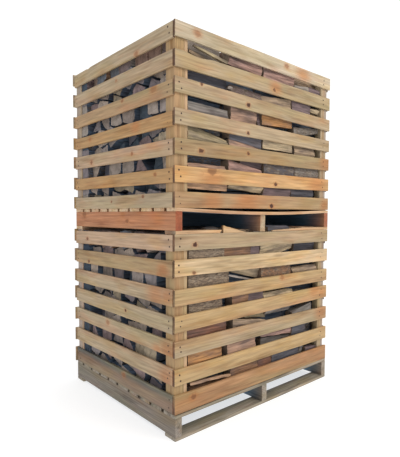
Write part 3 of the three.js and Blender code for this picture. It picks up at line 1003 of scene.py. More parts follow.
# Spots on each slat that shows in the picture: place along the side and height in the load, radius, and
# 1 for a knot to 0 for a stain
SLAT_SPOTS = {
    ("upper", "front"): (
        ((140, 1868, 16, 0.25), (795, 1875, 14, 0.3), (950, 1860, 40, 0)),
        ((690, 1722, 9, 0.7), (700, 1740, 30, 0)),
        ((485, 1607, 12, 1), (165, 1648, 8, 0.8)),
        ((485, 1465, 9, 0.9),),
        ((165, 1340, 12, 0.9), (487, 1360, 9, 0.8), (1195, 1375, 35, 0)),
        ((235, 1255, 24, 0.5), (240, 1215, 45, 0), (710, 1213, 12, 0.9), (1110, 1225, 60, 0)),
        ((678, 1093, 13, 1), (490, 1100, 60, 0), (240, 1105, 40, 0), (1190, 1105, 25, 0.1)),
    ),
    ("upper", "left"): (
        ((306, 1830, 14, 0.3),),
        ((500, 1745, 8, 0.2),),
        ((160, 1630, 20, 0.2), (440, 1628, 10, 0.4)),
        ((806, 1480, 12, 0.2), (315, 1480, 25, 0)),
        ((790, 1345, 12, 0.5), (350, 1350, 9, 0.4)),
        ((150, 1230, 8, 0.4),),
        ((560, 1112, 6, 0.6), (250, 1130, 8, 0.5)),
    ),
    ("lower", "front"): (
        ((130, 903, 11, 1),),
        ((125, 770, 9, 0.6),),
        ((780, 690, 14, 0.3),),
        ((1110, 580, 40, 0), (1180, 560, 30, 0)),
        ((1180, 430, 40, 0),),
        (),
        ((122, 185, 14, 0.5),),
    ),
    ("lower", "left"): (
        ((850, 900, 11, 0.7),),
        ((835, 765, 9, 0.8), (85, 785, 26, 0.1), (110, 760, 16, 0)),
        ((140, 655, 45, 0), (60, 660, 30, 0)),
        ((418, 540, 8, 1),),
        ((610, 440, 14, 0.3), (50, 415, 40, 0.15), (130, 400, 24, 0)),
        ((60, 285, 34, 0.1),),
        ((440, 188, 13, 0.35),),
    ),
}
# Where the trunk's round side takes a bite out of a slat's top edge: place along it, half length, depth
WANES = {("upper", "front", 1): (140, 80, 9), ("upper", "left", 0): (192, 14, 8)}
print(2 * sum(len(slats) for slats in SIDES.values()), "slats")

# %% [markdown]
# ## Slats on a side
# A spot or a wane was measured in the load, so it is first turned into a place along and up its slat. A
# wane is a bite out of the top edge that is deepest in its middle and runs out in a curve. The sides
# that the picture doesn't show get tints and spots by chance, from the same tints as the others, apart
# from the one very grey slat.

# %% Slats
def slat_run(side, top_a, top_b, high):
    """Where a slat starts and how far it reaches: front slats run right, left ones towards the front."""
    if side == "front":
        return (FRONT_START, SLAT_THICK, top_a - high), (LOAD_WIDTH - FRONT_START, 0, top_b - top_a)
    near = SLAT_THICK + GAP
    far = LOAD_DEPTH - near
    return (SIDE_INSET + SLAT_THICK, far, top_b - high), (0, near - far, top_a - top_b)


def on_slat(spots, start, reach, axis):
    """Spots placed in the load, as places along and up a slat."""
    placed = []
    for place, z, radius, kind in spots:
        share = (place - start[axis]) / reach[axis]
        placed.append((share * abs(reach[axis]), z - start[2] - share * reach[2], radius, kind))
    return placed


def waney(place_along, half, depth, high):
    def bite(place):
        near = np.clip(1 - np.abs(place[:, 0] - place_along) / half, 0, 1)
        place[:, 1] -= depth * near * (2 - near) * np.clip(place[:, 1] / high, 0, 1)
        return place
    return bite


TWINS = {"front": "back", "left": "right"}
# Every side of every crate, as its crate, its shown side, and whether it is that side turned half round
EVERY_SIDE = [(crate, side, turned) for crate in BASES for side in TWINS for turned in (False, True)]
SLAT_PLAY = 1.5
# Spots by chance: how far from the slat's ends and edges, their radius, and how many at most
SPOT_FROM_END = 60
SPOT_FROM_EDGE = 12
SPOT_RADII = (6, 20)
MOST_SPOTS = 3


def chance_spots(chance, length, high):
    return [(chance.uniform(SPOT_FROM_END, length - SPOT_FROM_END),
             chance.uniform(SPOT_FROM_EDGE, high - SPOT_FROM_EDGE),
             chance.uniform(*SPOT_RADII), chance.uniform(0, 1))
            for _ in range(chance.integers(0, MOST_SPOTS + 1))]


def make_slats(crate, side, turned):
    shown = TWINS[side] if turned else side
    for i, (top_a, top_b, high) in enumerate(SIDES[crate, side]):
        name = f"{crate}_{shown}_slat_{i + 1}"
        chance = own_chance(name + "_look")
        start, reach = (np.array(each, float) for each in slat_run(side, top_a, top_b, high))
        start[2] += BASES[crate]
        if turned:
            tint = chance.choice([tint for tint in PINE_TINTS if tint != "grey"])
            spots = chance_spots(chance, np.linalg.norm(reach), high)
            wane = None
        else:
            tint = SLAT_TINTS[crate, side][i]
            spots = on_slat(SLAT_SPOTS[crate, side][i], start, reach, 0 if side == "front" else 1)
            wane = WANES.get((crate, side, i))
        make_board(name, start, reach, (0, 0, 1), high, SLAT_THICK, sawn_pine, PINE_TINTS[tint],
                   LIT_BACK_END_TINT if shown == "back" else END_GRAIN_AND_SHADE_TINT, "slat_wood",
                   [f"{crate}_slats_{shown}"], turned=turned, spots=spots,
                   bend=waney(*wane, high) if wane else None, play=SLAT_PLAY)


for each_side in EVERY_SIDE:
    make_slats(*each_side)
print("slats are up")

# %% [markdown]
# ## The uprights
# The slats are nailed to uprights that stand in the corners on the deck. The left corner has a post of
# 54 by 67 mm with a cleat beside it, and the right corner an upright of 38 by 40 mm. The left side's far
# end is nailed to a board on edge. They show through the gaps as short strips, some a little warmer and
# some a little greyer than the slats.

# %% Uprights
POST_WIDE = 54
POST_DEEP = 67
CLEAT_WIDE = 19
EDGE_WIDE = 22
UPRIGHT_WIDE = 38
UPRIGHT_DEEP = 40
UPRIGHT_PLAY = 0.1


def make_uprights(crate, turned):
    bottom = DECK_TOP + GAP
    tall = HEIGHTS[crate] - GAP - bottom
    near = SLAT_THICK + GAP
    far = LOAD_DEPTH - near
    inside = SIDE_INSET + SLAT_THICK
    right = LOAD_WIDTH - inside - EDGE_WIDE - GAP - UPRIGHT_WIDE
    kinds = {
        "post": ("left", inside, near, POST_WIDE, POST_DEEP, "#ad8f68"),
        "edge_upright": ("left", inside, far - POST_DEEP, EDGE_WIDE, POST_DEEP, "#a8998c"),
        "cleat": ("front", inside + POST_WIDE + GAP, SLAT_THICK, CLEAT_WIDE, UPRIGHT_DEEP, "#c9b08c"),
        "upright": ("front", right, SLAT_THICK, UPRIGHT_WIDE, UPRIGHT_DEEP, "#ab997d"),
    }
    for kind, (side, x, y, wide, deep, tint) in kinds.items():
        shown = TWINS[side] if turned else side
        make_board(f"{crate}_{shown}_{kind}", (x, y, BASES[crate] + bottom), (0, 0, tall), (1, 0, 0),
                   wide, deep, post_pine, tint, END_GRAIN_AND_SHADE_TINT, "slat_wood", [f"{crate}_slats_{shown}"],
                   turned=turned, play=UPRIGHT_PLAY)


for crate in BASES:
    make_uprights(crate, False)
    make_uprights(crate, True)
print("uprights stand in the corners")

# %% [markdown]
# ## The nails
# Two nails hold each end of each slat. A nail head is a flat dome 8 mm across, driven flush. Hundreds
# of single objects would be a burden, so the nails of one crate's side are one joined mesh, built as a
# small ring of points that is repeated at each nail's place.

# %% Nails
NAIL_SIDES = 10
# Rings of points on a nail head: radius, and how far out of the board
NAIL_RADIUS = 4.2
NAIL_RINGS = ((NAIL_RADIUS, -0.8), (NAIL_RADIUS, 0.1), (NAIL_RADIUS * 0.6, 0.45))
NAIL_LEAN = 0.3


def nail_heads(name, places, out, turned, node):
    """One mesh of nail heads at places, their domes facing out."""
    chance = own_chance(name)
    points = []
    faces = []
    side = np.cross(out, (0, 0, 1))
    over = np.cross(side, out)
    for place in places:
        first = len(points)
        lean = chance.uniform(-NAIL_LEAN, NAIL_LEAN, 2)
        for radius, rise in NAIL_RINGS:
            for i in range(NAIL_SIDES):
                angle = 2 * math.pi * i / NAIL_SIDES
                flat = radius * (math.cos(angle) * side + math.sin(angle) * over)
                tilt = rise + (lean[0] * math.cos(angle) + lean[1] * math.sin(angle)) * radius / NAIL_RADIUS
                points.append(np.array(place) + flat + np.array(out) * tilt)
        for ring in (0, 1):
            for i in range(NAIL_SIDES):
                j = (i + 1) % NAIL_SIDES
                a, b = first + ring * NAIL_SIDES, first + (ring + 1) * NAIL_SIDES
                faces.append((a + j, a + i, b + i, b + j))
        faces.append(tuple(first + 2 * NAIL_SIDES + i for i in reversed(range(NAIL_SIDES))))
        faces.append(tuple(first + i for i in range(NAIL_SIDES)))
    make_piece(name, in_frame(points, turned), faces, [nail_finish], {}, "nail_steel", [node])


# Where the nails go: along each side, and up each slat as a share of its height, give or take
NAIL_ENDS = {"front": (42, LOAD_WIDTH - 65), "left": (LOAD_DEPTH - 46, 44)}
NAIL_LEVELS = (0.3, 0.7)
NAIL_LEVEL_PLAY = 0.07
NAIL_PLAY = 9


def slat_nails(crate, side, turned):
    shown = TWINS[side] if turned else side
    name = f"{crate}_{shown}_nails"
    chance = own_chance(name)
    axis = 0 if side == "front" else 1
    out = np.array((0.0, -1, 0) if side == "front" else (-1.0, 0, 0))
    places = []
    for top_a, top_b, high in SIDES[crate, side]:
        start, reach = (np.array(each, float) for each in slat_run(side, top_a, top_b, high))
        for end in NAIL_ENDS[side]:
            share = (end - start[axis]) / reach[axis]
            for level in NAIL_LEVELS:
                spot = start + reach * share + out * SLAT_THICK
                spot[2] += BASES[crate] + high * (level + chance.uniform(-NAIL_LEVEL_PLAY, NAIL_LEVEL_PLAY))
                spot[axis] += chance.uniform(-NAIL_PLAY, NAIL_PLAY)
                places.append(spot)
    nail_heads(name, places, out, turned, f"{crate}_slats_{shown}")


for each_side in EVERY_SIDE:
    slat_nails(*each_side)
print("nails driven")

# %% [markdown]
# ## Where the logs lie
# A bay of logs is nine layers of eight. We first scatter one point for each log, by the same rule that
# the solids use, and then give each log the part of the stack that is nearer to its point than to any
# other: a Voronoi cell, found by cutting the stack's outline along the line midway to each neighbour. So
# the logs fit each other like a real stack, and none passes through the next.
# The first and the last column keep clear of the corner posts. What lies in front of them, right behind
# the slats, is listed one by one further down.

# %% Log places
BAY_ENDS = (95, 367, 615, 890, 1138)
LAYERS = 9
ROWS = 8
# As shares of a log's place: how far every layer is shifted to one side, and how far logs are scattered
LAYER_SHIFT = 0.12
LOG_SCATTER = 0.16
LOG_FRONT = 16
# How far in from the load's left and right side the outer logs end
END_NEAR = 28
END_FAR = 62
# The cells begin behind the corner posts, and the middle of the first column is here
POST_LINE = 81
COLUMN_MIDDLE = POST_LINE + 32
FILLS = {"lower": 951, "upper": 915}
# Some of the lower crate's logs reach up between the upper pallet's bottom boards
INNER_FILLS = {"lower": (951, 966, 966, 974), "upper": (915, 915, 915, 915)}
SEEDS = {"lower": (69, 35, 14, 68), "upper": (98, 52, 36, 30)}
# The first numbers of the rule hardly differ from seed to seed, so they aren't used
SKIPPED = 5


def steady_numbers(seed):
    """One number after another between 0 and 1, by the rule that placed the logs of the solids."""
    state = seed
    for count in itertools.count():
        state = (1664525 * state + 1013904223) % 2 ** 32
        if count >= SKIPPED:
            yield state / 2 ** 32


def bay_logs(seed, bottom, top):
    numbers = steady_numbers(seed)
    wide = (LOAD_DEPTH - 2 * LOG_FRONT) / ROWS
    high = (top - bottom) / LAYERS
    logs = []
    for layer in range(LAYERS):
        shift = LAYER_SHIFT if layer % 2 == 0 else -LAYER_SHIFT
        for row in range(ROWS):
            y = LOG_FRONT + (row + 0.5 + shift + (next(numbers) - 0.5) * LOG_SCATTER) * wide
            z = bottom + (layer + 0.5 + (next(numbers) - 0.5) * LOG_SCATTER) * high
            # Two numbers set the forms of the solids' own logs, and aren't needed here
            next(numbers)
            next(numbers)
            end = END_NEAR + next(numbers) * (END_FAR - END_NEAR)
            if row == 0:
                y = COLUMN_MIDDLE
            if row == ROWS - 1:
                y = LOAD_DEPTH - COLUMN_MIDDLE
            logs.append({"row": row, "layer": layer, "y": y, "z": z, "end": end})
    return logs


print("first log:", bay_logs(SEEDS["upper"][0], DECK_TOP + GAP, FILLS["upper"])[0])

# %% [markdown]
# ## The cells of the stack
# To find a log's cell we start with the whole stack's outline, seen from the left, and for each log
# nearby we cut off what is nearer to that log than to ours. A cut line may lie a little back from the
# middle, which leaves a gap between the two logs. Only logs within 300 mm can matter, and skipping the
# others saves most of the work.

# %% Cells
NEIGHBOUR_REACH = 300


def clip(outline, point, normal):
    """The part of a convex outline that lies behind the line through point."""
    kept = []
    for i, here in enumerate(outline):
        there = outline[(i + 1) % len(outline)]
        a = (here[0] - point[0]) * normal[0] + (here[1] - point[1]) * normal[1]
        b = (there[0] - point[0]) * normal[0] + (there[1] - point[1]) * normal[1]
        if a <= 0:
            kept.append(here)
        if a * b < 0:
            share = a / (a - b)
            kept.append((here[0] + (there[0] - here[0]) * share, here[1] + (there[1] - here[1]) * share))
    return kept


def cell(log, logs, bottom, top, spare):
    """The outline of a log's place in the stack, spare back from the line midway to each neighbour."""
    low, high = POST_LINE, LOAD_DEPTH - POST_LINE
    outline = [(low, bottom), (high, bottom), (high, top), (low, top)]
    for other in logs:
        across = other["y"] - log["y"]
        above = other["z"] - log["z"]
        far = math.hypot(across, above)
        if 0 < far < NEIGHBOUR_REACH:
            normal = (across / far, above / far)
            reach = far / 2 - spare
            outline = clip(outline, (log["y"] + normal[0] * reach, log["z"] + normal[1] * reach), normal)
    return outline


def area(outline):
    turns = zip(outline, outline[1:] + outline[:1])
    return sum(a[0] * b[1] - b[0] * a[1] for a, b in turns) / 2


print("clip of a unit square:", clip([(0, 0), (1, 0), (1, 1), (0, 1)], (0.5, 0), (1, 0)))

# %% [markdown]
# ## The shape of a split log
# Firewood is split into wedges: two or three flat torn faces and often one round face with bark. So
# from the corners of its cell we keep only three or four, which leaves the dark hollows between the logs
# that such a stack has, and bulge one side into an arc for the bark. The pith is at the corner across
# from the bark, as it is in a log split from the round.

# %% Log sections
CORNER_COUNTS = (3, 4, 4)


def split_corners(outline, chance):
    """Three or four of a cell's corners: the log's edges where it was split."""
    wanted = min(len(outline), int(chance.choice(CORNER_COUNTS)))
    choices = sorted(itertools.combinations(outline, wanted), key=area)
    return list(choices[-1 - int(chance.integers(0, min(2, len(choices))))])


def log_outline(corners, barked, spacing, bulge):
    """Points round a section, spacing apart, and which of them are bark: those of the side barked.

    bulge is how far the bark stands out of the straight line, as a share of that side's length.
    """
    points = []
    bark = []
    for i, (a, b) in enumerate(zip(corners, corners[1:] + corners[:1])):
        a, b = np.array(a, float), np.array(b, float)
        length = np.linalg.norm(b - a)
        steps = max(2, math.ceil(length / spacing))
        out = np.array((b[1] - a[1], a[0] - b[0])) / max(length, 1e-6)
        for s in range(steps):
            share = s / steps
            rise = 4 * share * (1 - share) * bulge * length if i == barked else 0
            points.append(a + (b - a) * share + out * rise)
            bark.append(i == barked)
    return np.array(points), np.array(bark)


def pith_of(corners, barked):
    middle = (np.array(corners[barked]) + np.array(corners[(barked + 1) % len(corners)])) / 2
    return np.array(max(corners, key=lambda corner: math.dist(corner, middle)))


print("log sections are wedges of", sorted(set(CORNER_COUNTS)), "corners")

# %% [markdown]
# ## The surface of a split log
# The section is repeated as rings along the log, and each point is pushed in or out along the section's
# own normal. On a split face the push is a noise stretched along the log, which gives torn fibres and
# long steps, and on the bark it is a ridged noise, which gives furrows. The log is also a little
# crooked and twisted, and its two ends are sawn a little out of square.

# %% Log maker
# No log comes nearer than this to the front or the back of the load
FACE_LIMIT = 13
# The ends: how far out of square they are sawn, as a slope, and how much their rims are worn back
OUT_OF_SQUARE = 0.04
WORN_RIM = 1.6
CROOK = 2.5
TWIST = 0.05
# Bark stands this far out, less its furrows: how deep, how long and how fine they are
BARK_PROUD = 1
FURROW_DEPTH = 3.2
FURROW_LONG = 42
FURROW_FINE = 13
# Split faces lie this far in, with torn steps on them: how high, how long and how fine each kind is
FACE_SUNK = 1.2
TORN_STEPS = ((3.6, 110, 14), (2.2, 40, 7))
LOG_SEEDS = 500
# A face's finish, as its place in the list of finishes that a bay of logs has
SPLIT_KIND, BARK_KIND, END_KIND = range(3)


def torn_push(x, outline, bark, seed):
    """How far each point of a ring at x is pushed out by furrows in the bark or torn steps."""
    push = np.zeros(len(outline))
    for k, (y, z) in enumerate(outline):
        if bark[k]:
            furrow = noise.noise(Vector((x / FURROW_LONG + seed, y / FURROW_FINE, z / FURROW_FINE)))
            push[k] = BARK_PROUD - FURROW_DEPTH * abs(furrow)
        else:
            push[k] = sum(size * noise.noise(Vector((x / long + seed, y / fine, z / fine)))
                          for size, long, fine in TORN_STEPS) - FACE_SUNK
    return push


def log_mesh(log, step):
    """Points, faces, face finishes and grain marks of one log, with a ring about every step mm."""
    outline, bark, chance = log["outline"], log["bark"], log["chance"]
    start, end = log["start"], log["end"]
    rings = max(2, round((end - start) / step)) + 1
    n = len(outline)
    seed = chance.uniform(0, LOG_SEEDS)
    slants = chance.uniform(-OUT_OF_SQUARE, OUT_OF_SQUARE, (2, 2))
    crook = chance.uniform(-1, 1, 2) * CROOK
    twist = chance.uniform(-TWIST, TWIST)
    tangent = np.roll(outline, -1, 0) - np.roll(outline, 1, 0)
    normal = np.stack((tangent[:, 1], -tangent[:, 0]), 1)
    normal /= np.maximum(np.linalg.norm(normal, axis=1), 1e-6)[:, None]
    points = []
    grain = []
    for r in range(rings):
        share = r / (rings - 1)
        x = start + (end - start) * share
        spin = twist * (share - 0.5)
        turned = np.array(((math.cos(spin), -math.sin(spin)), (math.sin(spin), math.cos(spin))))
        worn = WORN_RIM if r in (0, rings - 1) else 0
        push = torn_push(x, outline, bark, seed)
        ring = outline + log["change"] * share + normal * (push - worn)[:, None]
        centre = ring.mean(0)
        ring = (ring - centre) @ turned.T + centre + crook * math.sin(math.pi * share)
        ring[:, 0] = np.clip(ring[:, 0], FACE_LIMIT, LOAD_DEPTH - FACE_LIMIT)
        lean = (ring - centre) @ (slants[0] * (1 - share) + slants[1] * share)
        points.append(np.column_stack((x + lean, ring)))
        grain.append(np.column_stack((x + lean + seed, outline - log["pith"])))
    sides = [BARK_KIND if bark[i] else SPLIT_KIND for i in range(n)]
    kinds = sides * (rings - 1) + [END_KIND, END_KIND]
    points = np.concatenate(points + [points[0], points[-1]])
    grain = np.concatenate(grain + [grain[0], grain[-1]])
    return points, tube_faces(rings, n), kinds, grain, n


print("split faces are torn in steps of", [size for size, long, fine in TORN_STEPS], "mm")

# %% [markdown]
# ## The logs behind the slats
# Through the gaps of the front one sees about 35 logs in each crate, and each has its own colour:
# pink and cream where the oak was split lately, mauve and slate where it has been wet, brown and grey
# where bark is left. So these are placed one by one. An entry says where the log begins and ends, as
# seen on the front, and where its upper and lower edges lie above and below the gap's middle, at its
# left and its right end; None means that the edge is hidden behind a slat. Then come its tint and kind:
# a split log, one with bark, a stick that lies in front of the others, or a log that lies deeper.

# %% Front logs
GAP_LEVELS = {"upper": (850, 724, 593, 459, 337, 218, 140), "lower": (852, 726, 605, 481, 357, 234, 148)}
# Behind the lowest slat lie four logs with bark, at the same places in both crates
FOOT = (((85, 345), "brown"), ((352, 592), "mauve"), ((602, 868), "grey"), ((874, 1105), "brown"))
FOOT_LOGS = tuple((x0, x1, None, None, tint, "bark") for (x0, x1), tint in FOOT)
FRONT_LOGS = {
    "upper": (
        ((120, 338, (22, -8), (11, -23), "khaki", "stick"), (95, 300, (6, -22), (-8, -50), "tan", "deep"),
         (348, 592, None, (-12, -24), "rosy", "split"), (603, 868, None, None, "rosy", "split"),
         (872, 1010, (-8, 8), None, "silver", "split"), (1012, 1128, (10, 6), None, "mauve", "split")),
        ((85, 335, None, None, "slate", "deep"), (340, 372, (-2, -2), (-20, -20), "silver", "stick"),
         (350, 588, (8, 2), None, "mauve", "bark"), (590, 848, (-4, 22), None, "tan", "split"),
         (852, 1030, None, None, "mauve", "split"), (1034, 1128, (14, 20), (-14, -20), "cream", "split")),
        ((88, 342, (16, 10), None, "grey", "split"), (362, 552, None, None, "pink", "split"),
         (556, 604, None, None, "mauve", "deep"), (602, 862, None, (-18, -2), "orange", "split"),
         (868, 1128, (2, 24), (-60, -8), "grey", "bark")),
        ((88, 346, (50, 0), None, "khaki", "split"), (352, 592, None, (12, -16), "slate", "split"),
         (352, 592, (10, -18), None, "pink", "split"), (608, 864, None, (-9, -9), "cream", "split"),
         (882, 1085, None, None, "tan", "split")),
        ((90, 332, (-7, -7), None, "pink", "split"), (346, 598, (30, -8), None, "rosy", "split"),
         (430, 600, None, (18, -3), "mauve", "deep"), (606, 868, None, None, "slate", "bark"),
         (874, 1130, None, None, "grey", "bark")),
        ((90, 344, None, (-8, -12), "peach", "split"), (356, 610, None, (6, -12), "cream", "split"),
         (614, 850, None, None, "mauve", "split"), (854, 1078, None, None, "slate", "split")),
        FOOT_LOGS,
    ),
    "lower": (
        ((85, 312, None, None, "dun", "bark"), (318, 520, None, None, "brown", "split"),
         (520, 592, None, None, "mauve", "split"), (602, 888, None, (-50, -2), "cream", "split"),
         (892, 1130, None, None, "slate", "deep")),
        ((85, 348, None, None, "dun", "bark"), (380, 584, None, (24, -22), "cream", "deep"),
         (352, 560, (18, -26), (8, -40), "silver", "stick"), (592, 850, None, None, "brown", "bark"),
         (880, 1130, (12, 16), None, "tan", "split")),
        ((90, 302, None, None, "dun", "bark"), (382, 500, None, None, "brown", "split"),
         (504, 622, None, None, "mauve", "split"), (628, 896, (12, 8), None, "cream", "split")),
        ((80, 340, None, None, "red brown", "split"), (388, 640, (30, -10), None, "tan", "split"),
         (480, 645, None, (20, 0), "khaki", "deep"), (650, 868, None, (8, 8), "grey", "split"),
         (886, 1072, (-5, 30), None, "grey", "split")),
        ((90, 310, None, None, "orange", "split"), (350, 562, None, None, "pink", "split"),
         (606, 872, None, (18, -4), "rosy", "split"), (606, 872, (14, -8), None, "grey", "deep"),
         (880, 1012, None, None, "slate", "split")),
        ((105, 372, (22, -2), (4, -18), "peach", "stick"), (100, 372, (4, -16), None, "brown", "deep"),
         (376, 585, None, None, "brown", "split"), (588, 700, None, None, "red brown", "split"),
         (704, 955, None, None, "slate", "split"), (962, 992, None, None, "grey", "split"),
         (1020, 1130, (8, -4), None, "mauve", "split")),
        FOOT_LOGS,
    ),
}
OAK_TINTS = {
    "pink": "#b5927c", "rosy": "#b08c80", "tan": "#b39b80", "khaki": "#b0a07f", "grey": "#8c8680",
    "silver": "#a79d94", "cream": "#dcc6a2", "peach": "#d9b08c", "orange": "#bd8b59", "dun": "#a08d78",
    "brown": "#9a7355", "red brown": "#8a5f4a", "mauve": "#7d6a6c", "slate": "#5d5d66",
}
print(sum(len(entries) for crate in FRONT_LOGS.values() for entries in crate), "front logs")

# %% [markdown]
# ## From what is seen to where it is
# An entry is measured on the front, but the log lies behind it, and from the camera's place a thing that
# lies deeper shows elsewhere. So seen_at moves each edge along its sight line to the log's own depth. A
# front log's section is a simple wedge, given by its depth and by shares of its height, and its outline
# changes evenly from its left end to its right one, because many of these logs lie aslant.

# %% Front logs in their places
# How far behind the front each kind of log begins and ends
LOG_DEPTHS = {"split": (17, 78), "bark": (27, 78), "stick": (14, 33), "deep": (37, 78)}
# The logs stay between the cleat and the right upright
FRONT_RANGE = (93, 1152)
# The back corners of a section, as shares of its height
BACK_SHARES = (0.08, 0.92)
BARK_SETBACK = 5
# A split face slants back by this much to its top and bottom, and some have a ridge between them
FACE_SLANTS = (2, 20)
RIDGE_SHARE = 0.6
RIDGE_HEIGHTS = (0.3, 0.7)
# A face without a ridge slants back by at most this much at its foot, and by this much less at its top
PLAIN_SLANT = 8
GAP_SPARE = 1
FINE_SPACING = 5.5
FRONT_BULGE = 0.09
OTHER_CRATE = {"lower": "upper", "upper": "lower"}


def front_section(kind, chance):
    """Corners of a front log as (depth, share of its height), and which side is bark."""
    near, far = LOG_DEPTHS[kind]
    back = [(far, share) for share in BACK_SHARES]
    if kind == "bark":
        return [(near + BARK_SETBACK, 0), *back, (near + BARK_SETBACK, 1)], 3
    if kind == "stick":
        return [(near + 2, 0), (far, 0.2), (far - 4, 0.95), (near, 1)], -1
    low, high = chance.uniform(*FACE_SLANTS, 2)
    front = [(near + high, 1)]
    if chance.random() < RIDGE_SHARE:
        front.append((near, chance.uniform(*RIDGE_HEIGHTS)))
        return [(near + low, 0), *back, *front], -1
    return [(near + min(low, PLAIN_SLANT), 0), *back, (near + max(high - PLAIN_SLANT, 0), 1)], -1


def front_logs(crate, turned):
    """Outline and place of each log stacked behind the front slats, or the back ones if turned."""
    levels = GAP_LEVELS[crate]
    listed = FRONT_LOGS[OTHER_CRATE[crate] if turned else crate]
    for gap, (level, entries) in enumerate(zip(levels, listed)):
        over = FILLS[crate] - level
        if gap > 0:
            over = (levels[gap - 1] - level) / 2 - GAP_SPARE
        under = level - DECK_TOP - GAP
        if gap < len(levels) - 1:
            under = (level - levels[gap + 1]) / 2 - GAP_SPARE
        for number, (x0, x1, tops, lows, tint, kind) in enumerate(entries):
            chance = own_chance(f"{crate}{turned}{gap}{number}")
            corners, barked = front_section(kind, chance)
            ends = []
            for side, x in enumerate((x0, x1)):
                top = over if tops is None else tops[side]
                low = -under if lows is None else max(lows[side], -under)
                true_x, true_z = seen_at(x, BASES[crate] + level, LOG_DEPTHS[kind][0])
                lift = true_z - BASES[crate] - level if gap else 0
                lift = min(lift, over - top) if tops is None else lift
                ends.append((min(max(true_x, FRONT_RANGE[0]), FRONT_RANGE[1]),
                             level + low + lift, level + top + lift))
            (start, low_a, top_a), (end, low_b, top_b) = ends
            section = [(y, low_a + share * (top_a - low_a)) for y, share in corners]
            outline, bark = log_outline(section, barked, FINE_SPACING, FRONT_BULGE)
            shares = (outline[:, 1] - low_a) / (top_a - low_a)
            change = np.stack((np.zeros(len(outline)), low_b + shares * (top_b - low_b) - outline[:, 1]), 1)
            yield {"outline": outline, "change": change, "bark": bark, "pith": pith_of(section, barked),
                   "start": start, "end": end, "tint": tint, "turned": turned, "chance": chance}


print("front logs begin", [near for near, far in LOG_DEPTHS.values()], "mm behind the front")

# %% [markdown]
# ## The heart of a bay
# The logs in the heart of the stack lie in deep shade, so their long faces are painted one cool slate
# tint as painted shade, and only those on top have the tints of dry oak. Their sawn ends, which close the
# left and the right side, are greyish, from khaki to mauve. Some logs are set back, and leave a dark hole
# between the ends, and their own ends are painted darker and cooler, as painted shade. In the lower crate
# so is the column beside the post in the left front corner, all but its top log, and its twin on the
# right. The column at the other end of either side keeps the view through the stack closed: its ends
# are painted dark blue as painted shade in the lower crate, and mixed with one such tint in the upper one.

# %% Heart logs
TOP_TINTS = ("grey", "mauve", "rosy", "tan", "silver", "brown")
# Painted shade: the one cool slate tint of the long faces in the heart of a bay
HEART_SHADE_TINT = "#627489"
END_TINTS = ("#a89a8e", "#9c9089", "#b3a292", "#8c8382", "#a8987f", "#947f7c", "#84797a", "#9a8b80")
# Painted shade on the sawn ends of logs that are set back, and of the lower crate's column beside the post
SHADE_TINTS = ("#596571", "#4f5c67", "#68666f")
DRY_END_TINTS = ("#8f6f62", "#7b6a66", "#a08c80", "#6f747c", "#94786a")
# The closing column's ends: dark blue painted shade in the lower crate, and in the upper one ordinary end
# tints with one painted shade among them
CORNER_TINTS_AND_SHADE = {
    "lower": ("#223243", "#2a3947"),
    "upper": ("#8c8382", "#7d7476", "#3c4855", "#948a80"),
}
# Shares of the logs: those that fill their cell, those with bark, and those that are set back in shade
WHOLE_SHARE = 0.55
BARK_SHARE = 0.6
SHADED_SHARE = 0.16
COARSE_SPACING = 9
WHOLE_BULGE = 0.06
SPLIT_BULGES = (0.08, 0.13)
# How far a log stays back from the line midway to its neighbour
CELL_SPARES = (0.8, 3.5)
CORNER_SPARE = -2
# In square millimetres
SMALLEST_CELL = 400
TOP_UNEVEN = (-2, 9)
JOINT_PLAY = 9
# How far in from the load's side the closing column ends, and at least the top layer on the right
CORNER_END = 20
TOP_END = 41
# How much further in than the others a log is set back, beside the post and elsewhere
POST_SETBACK = 90
SHADED_SETBACKS = (25, 60)


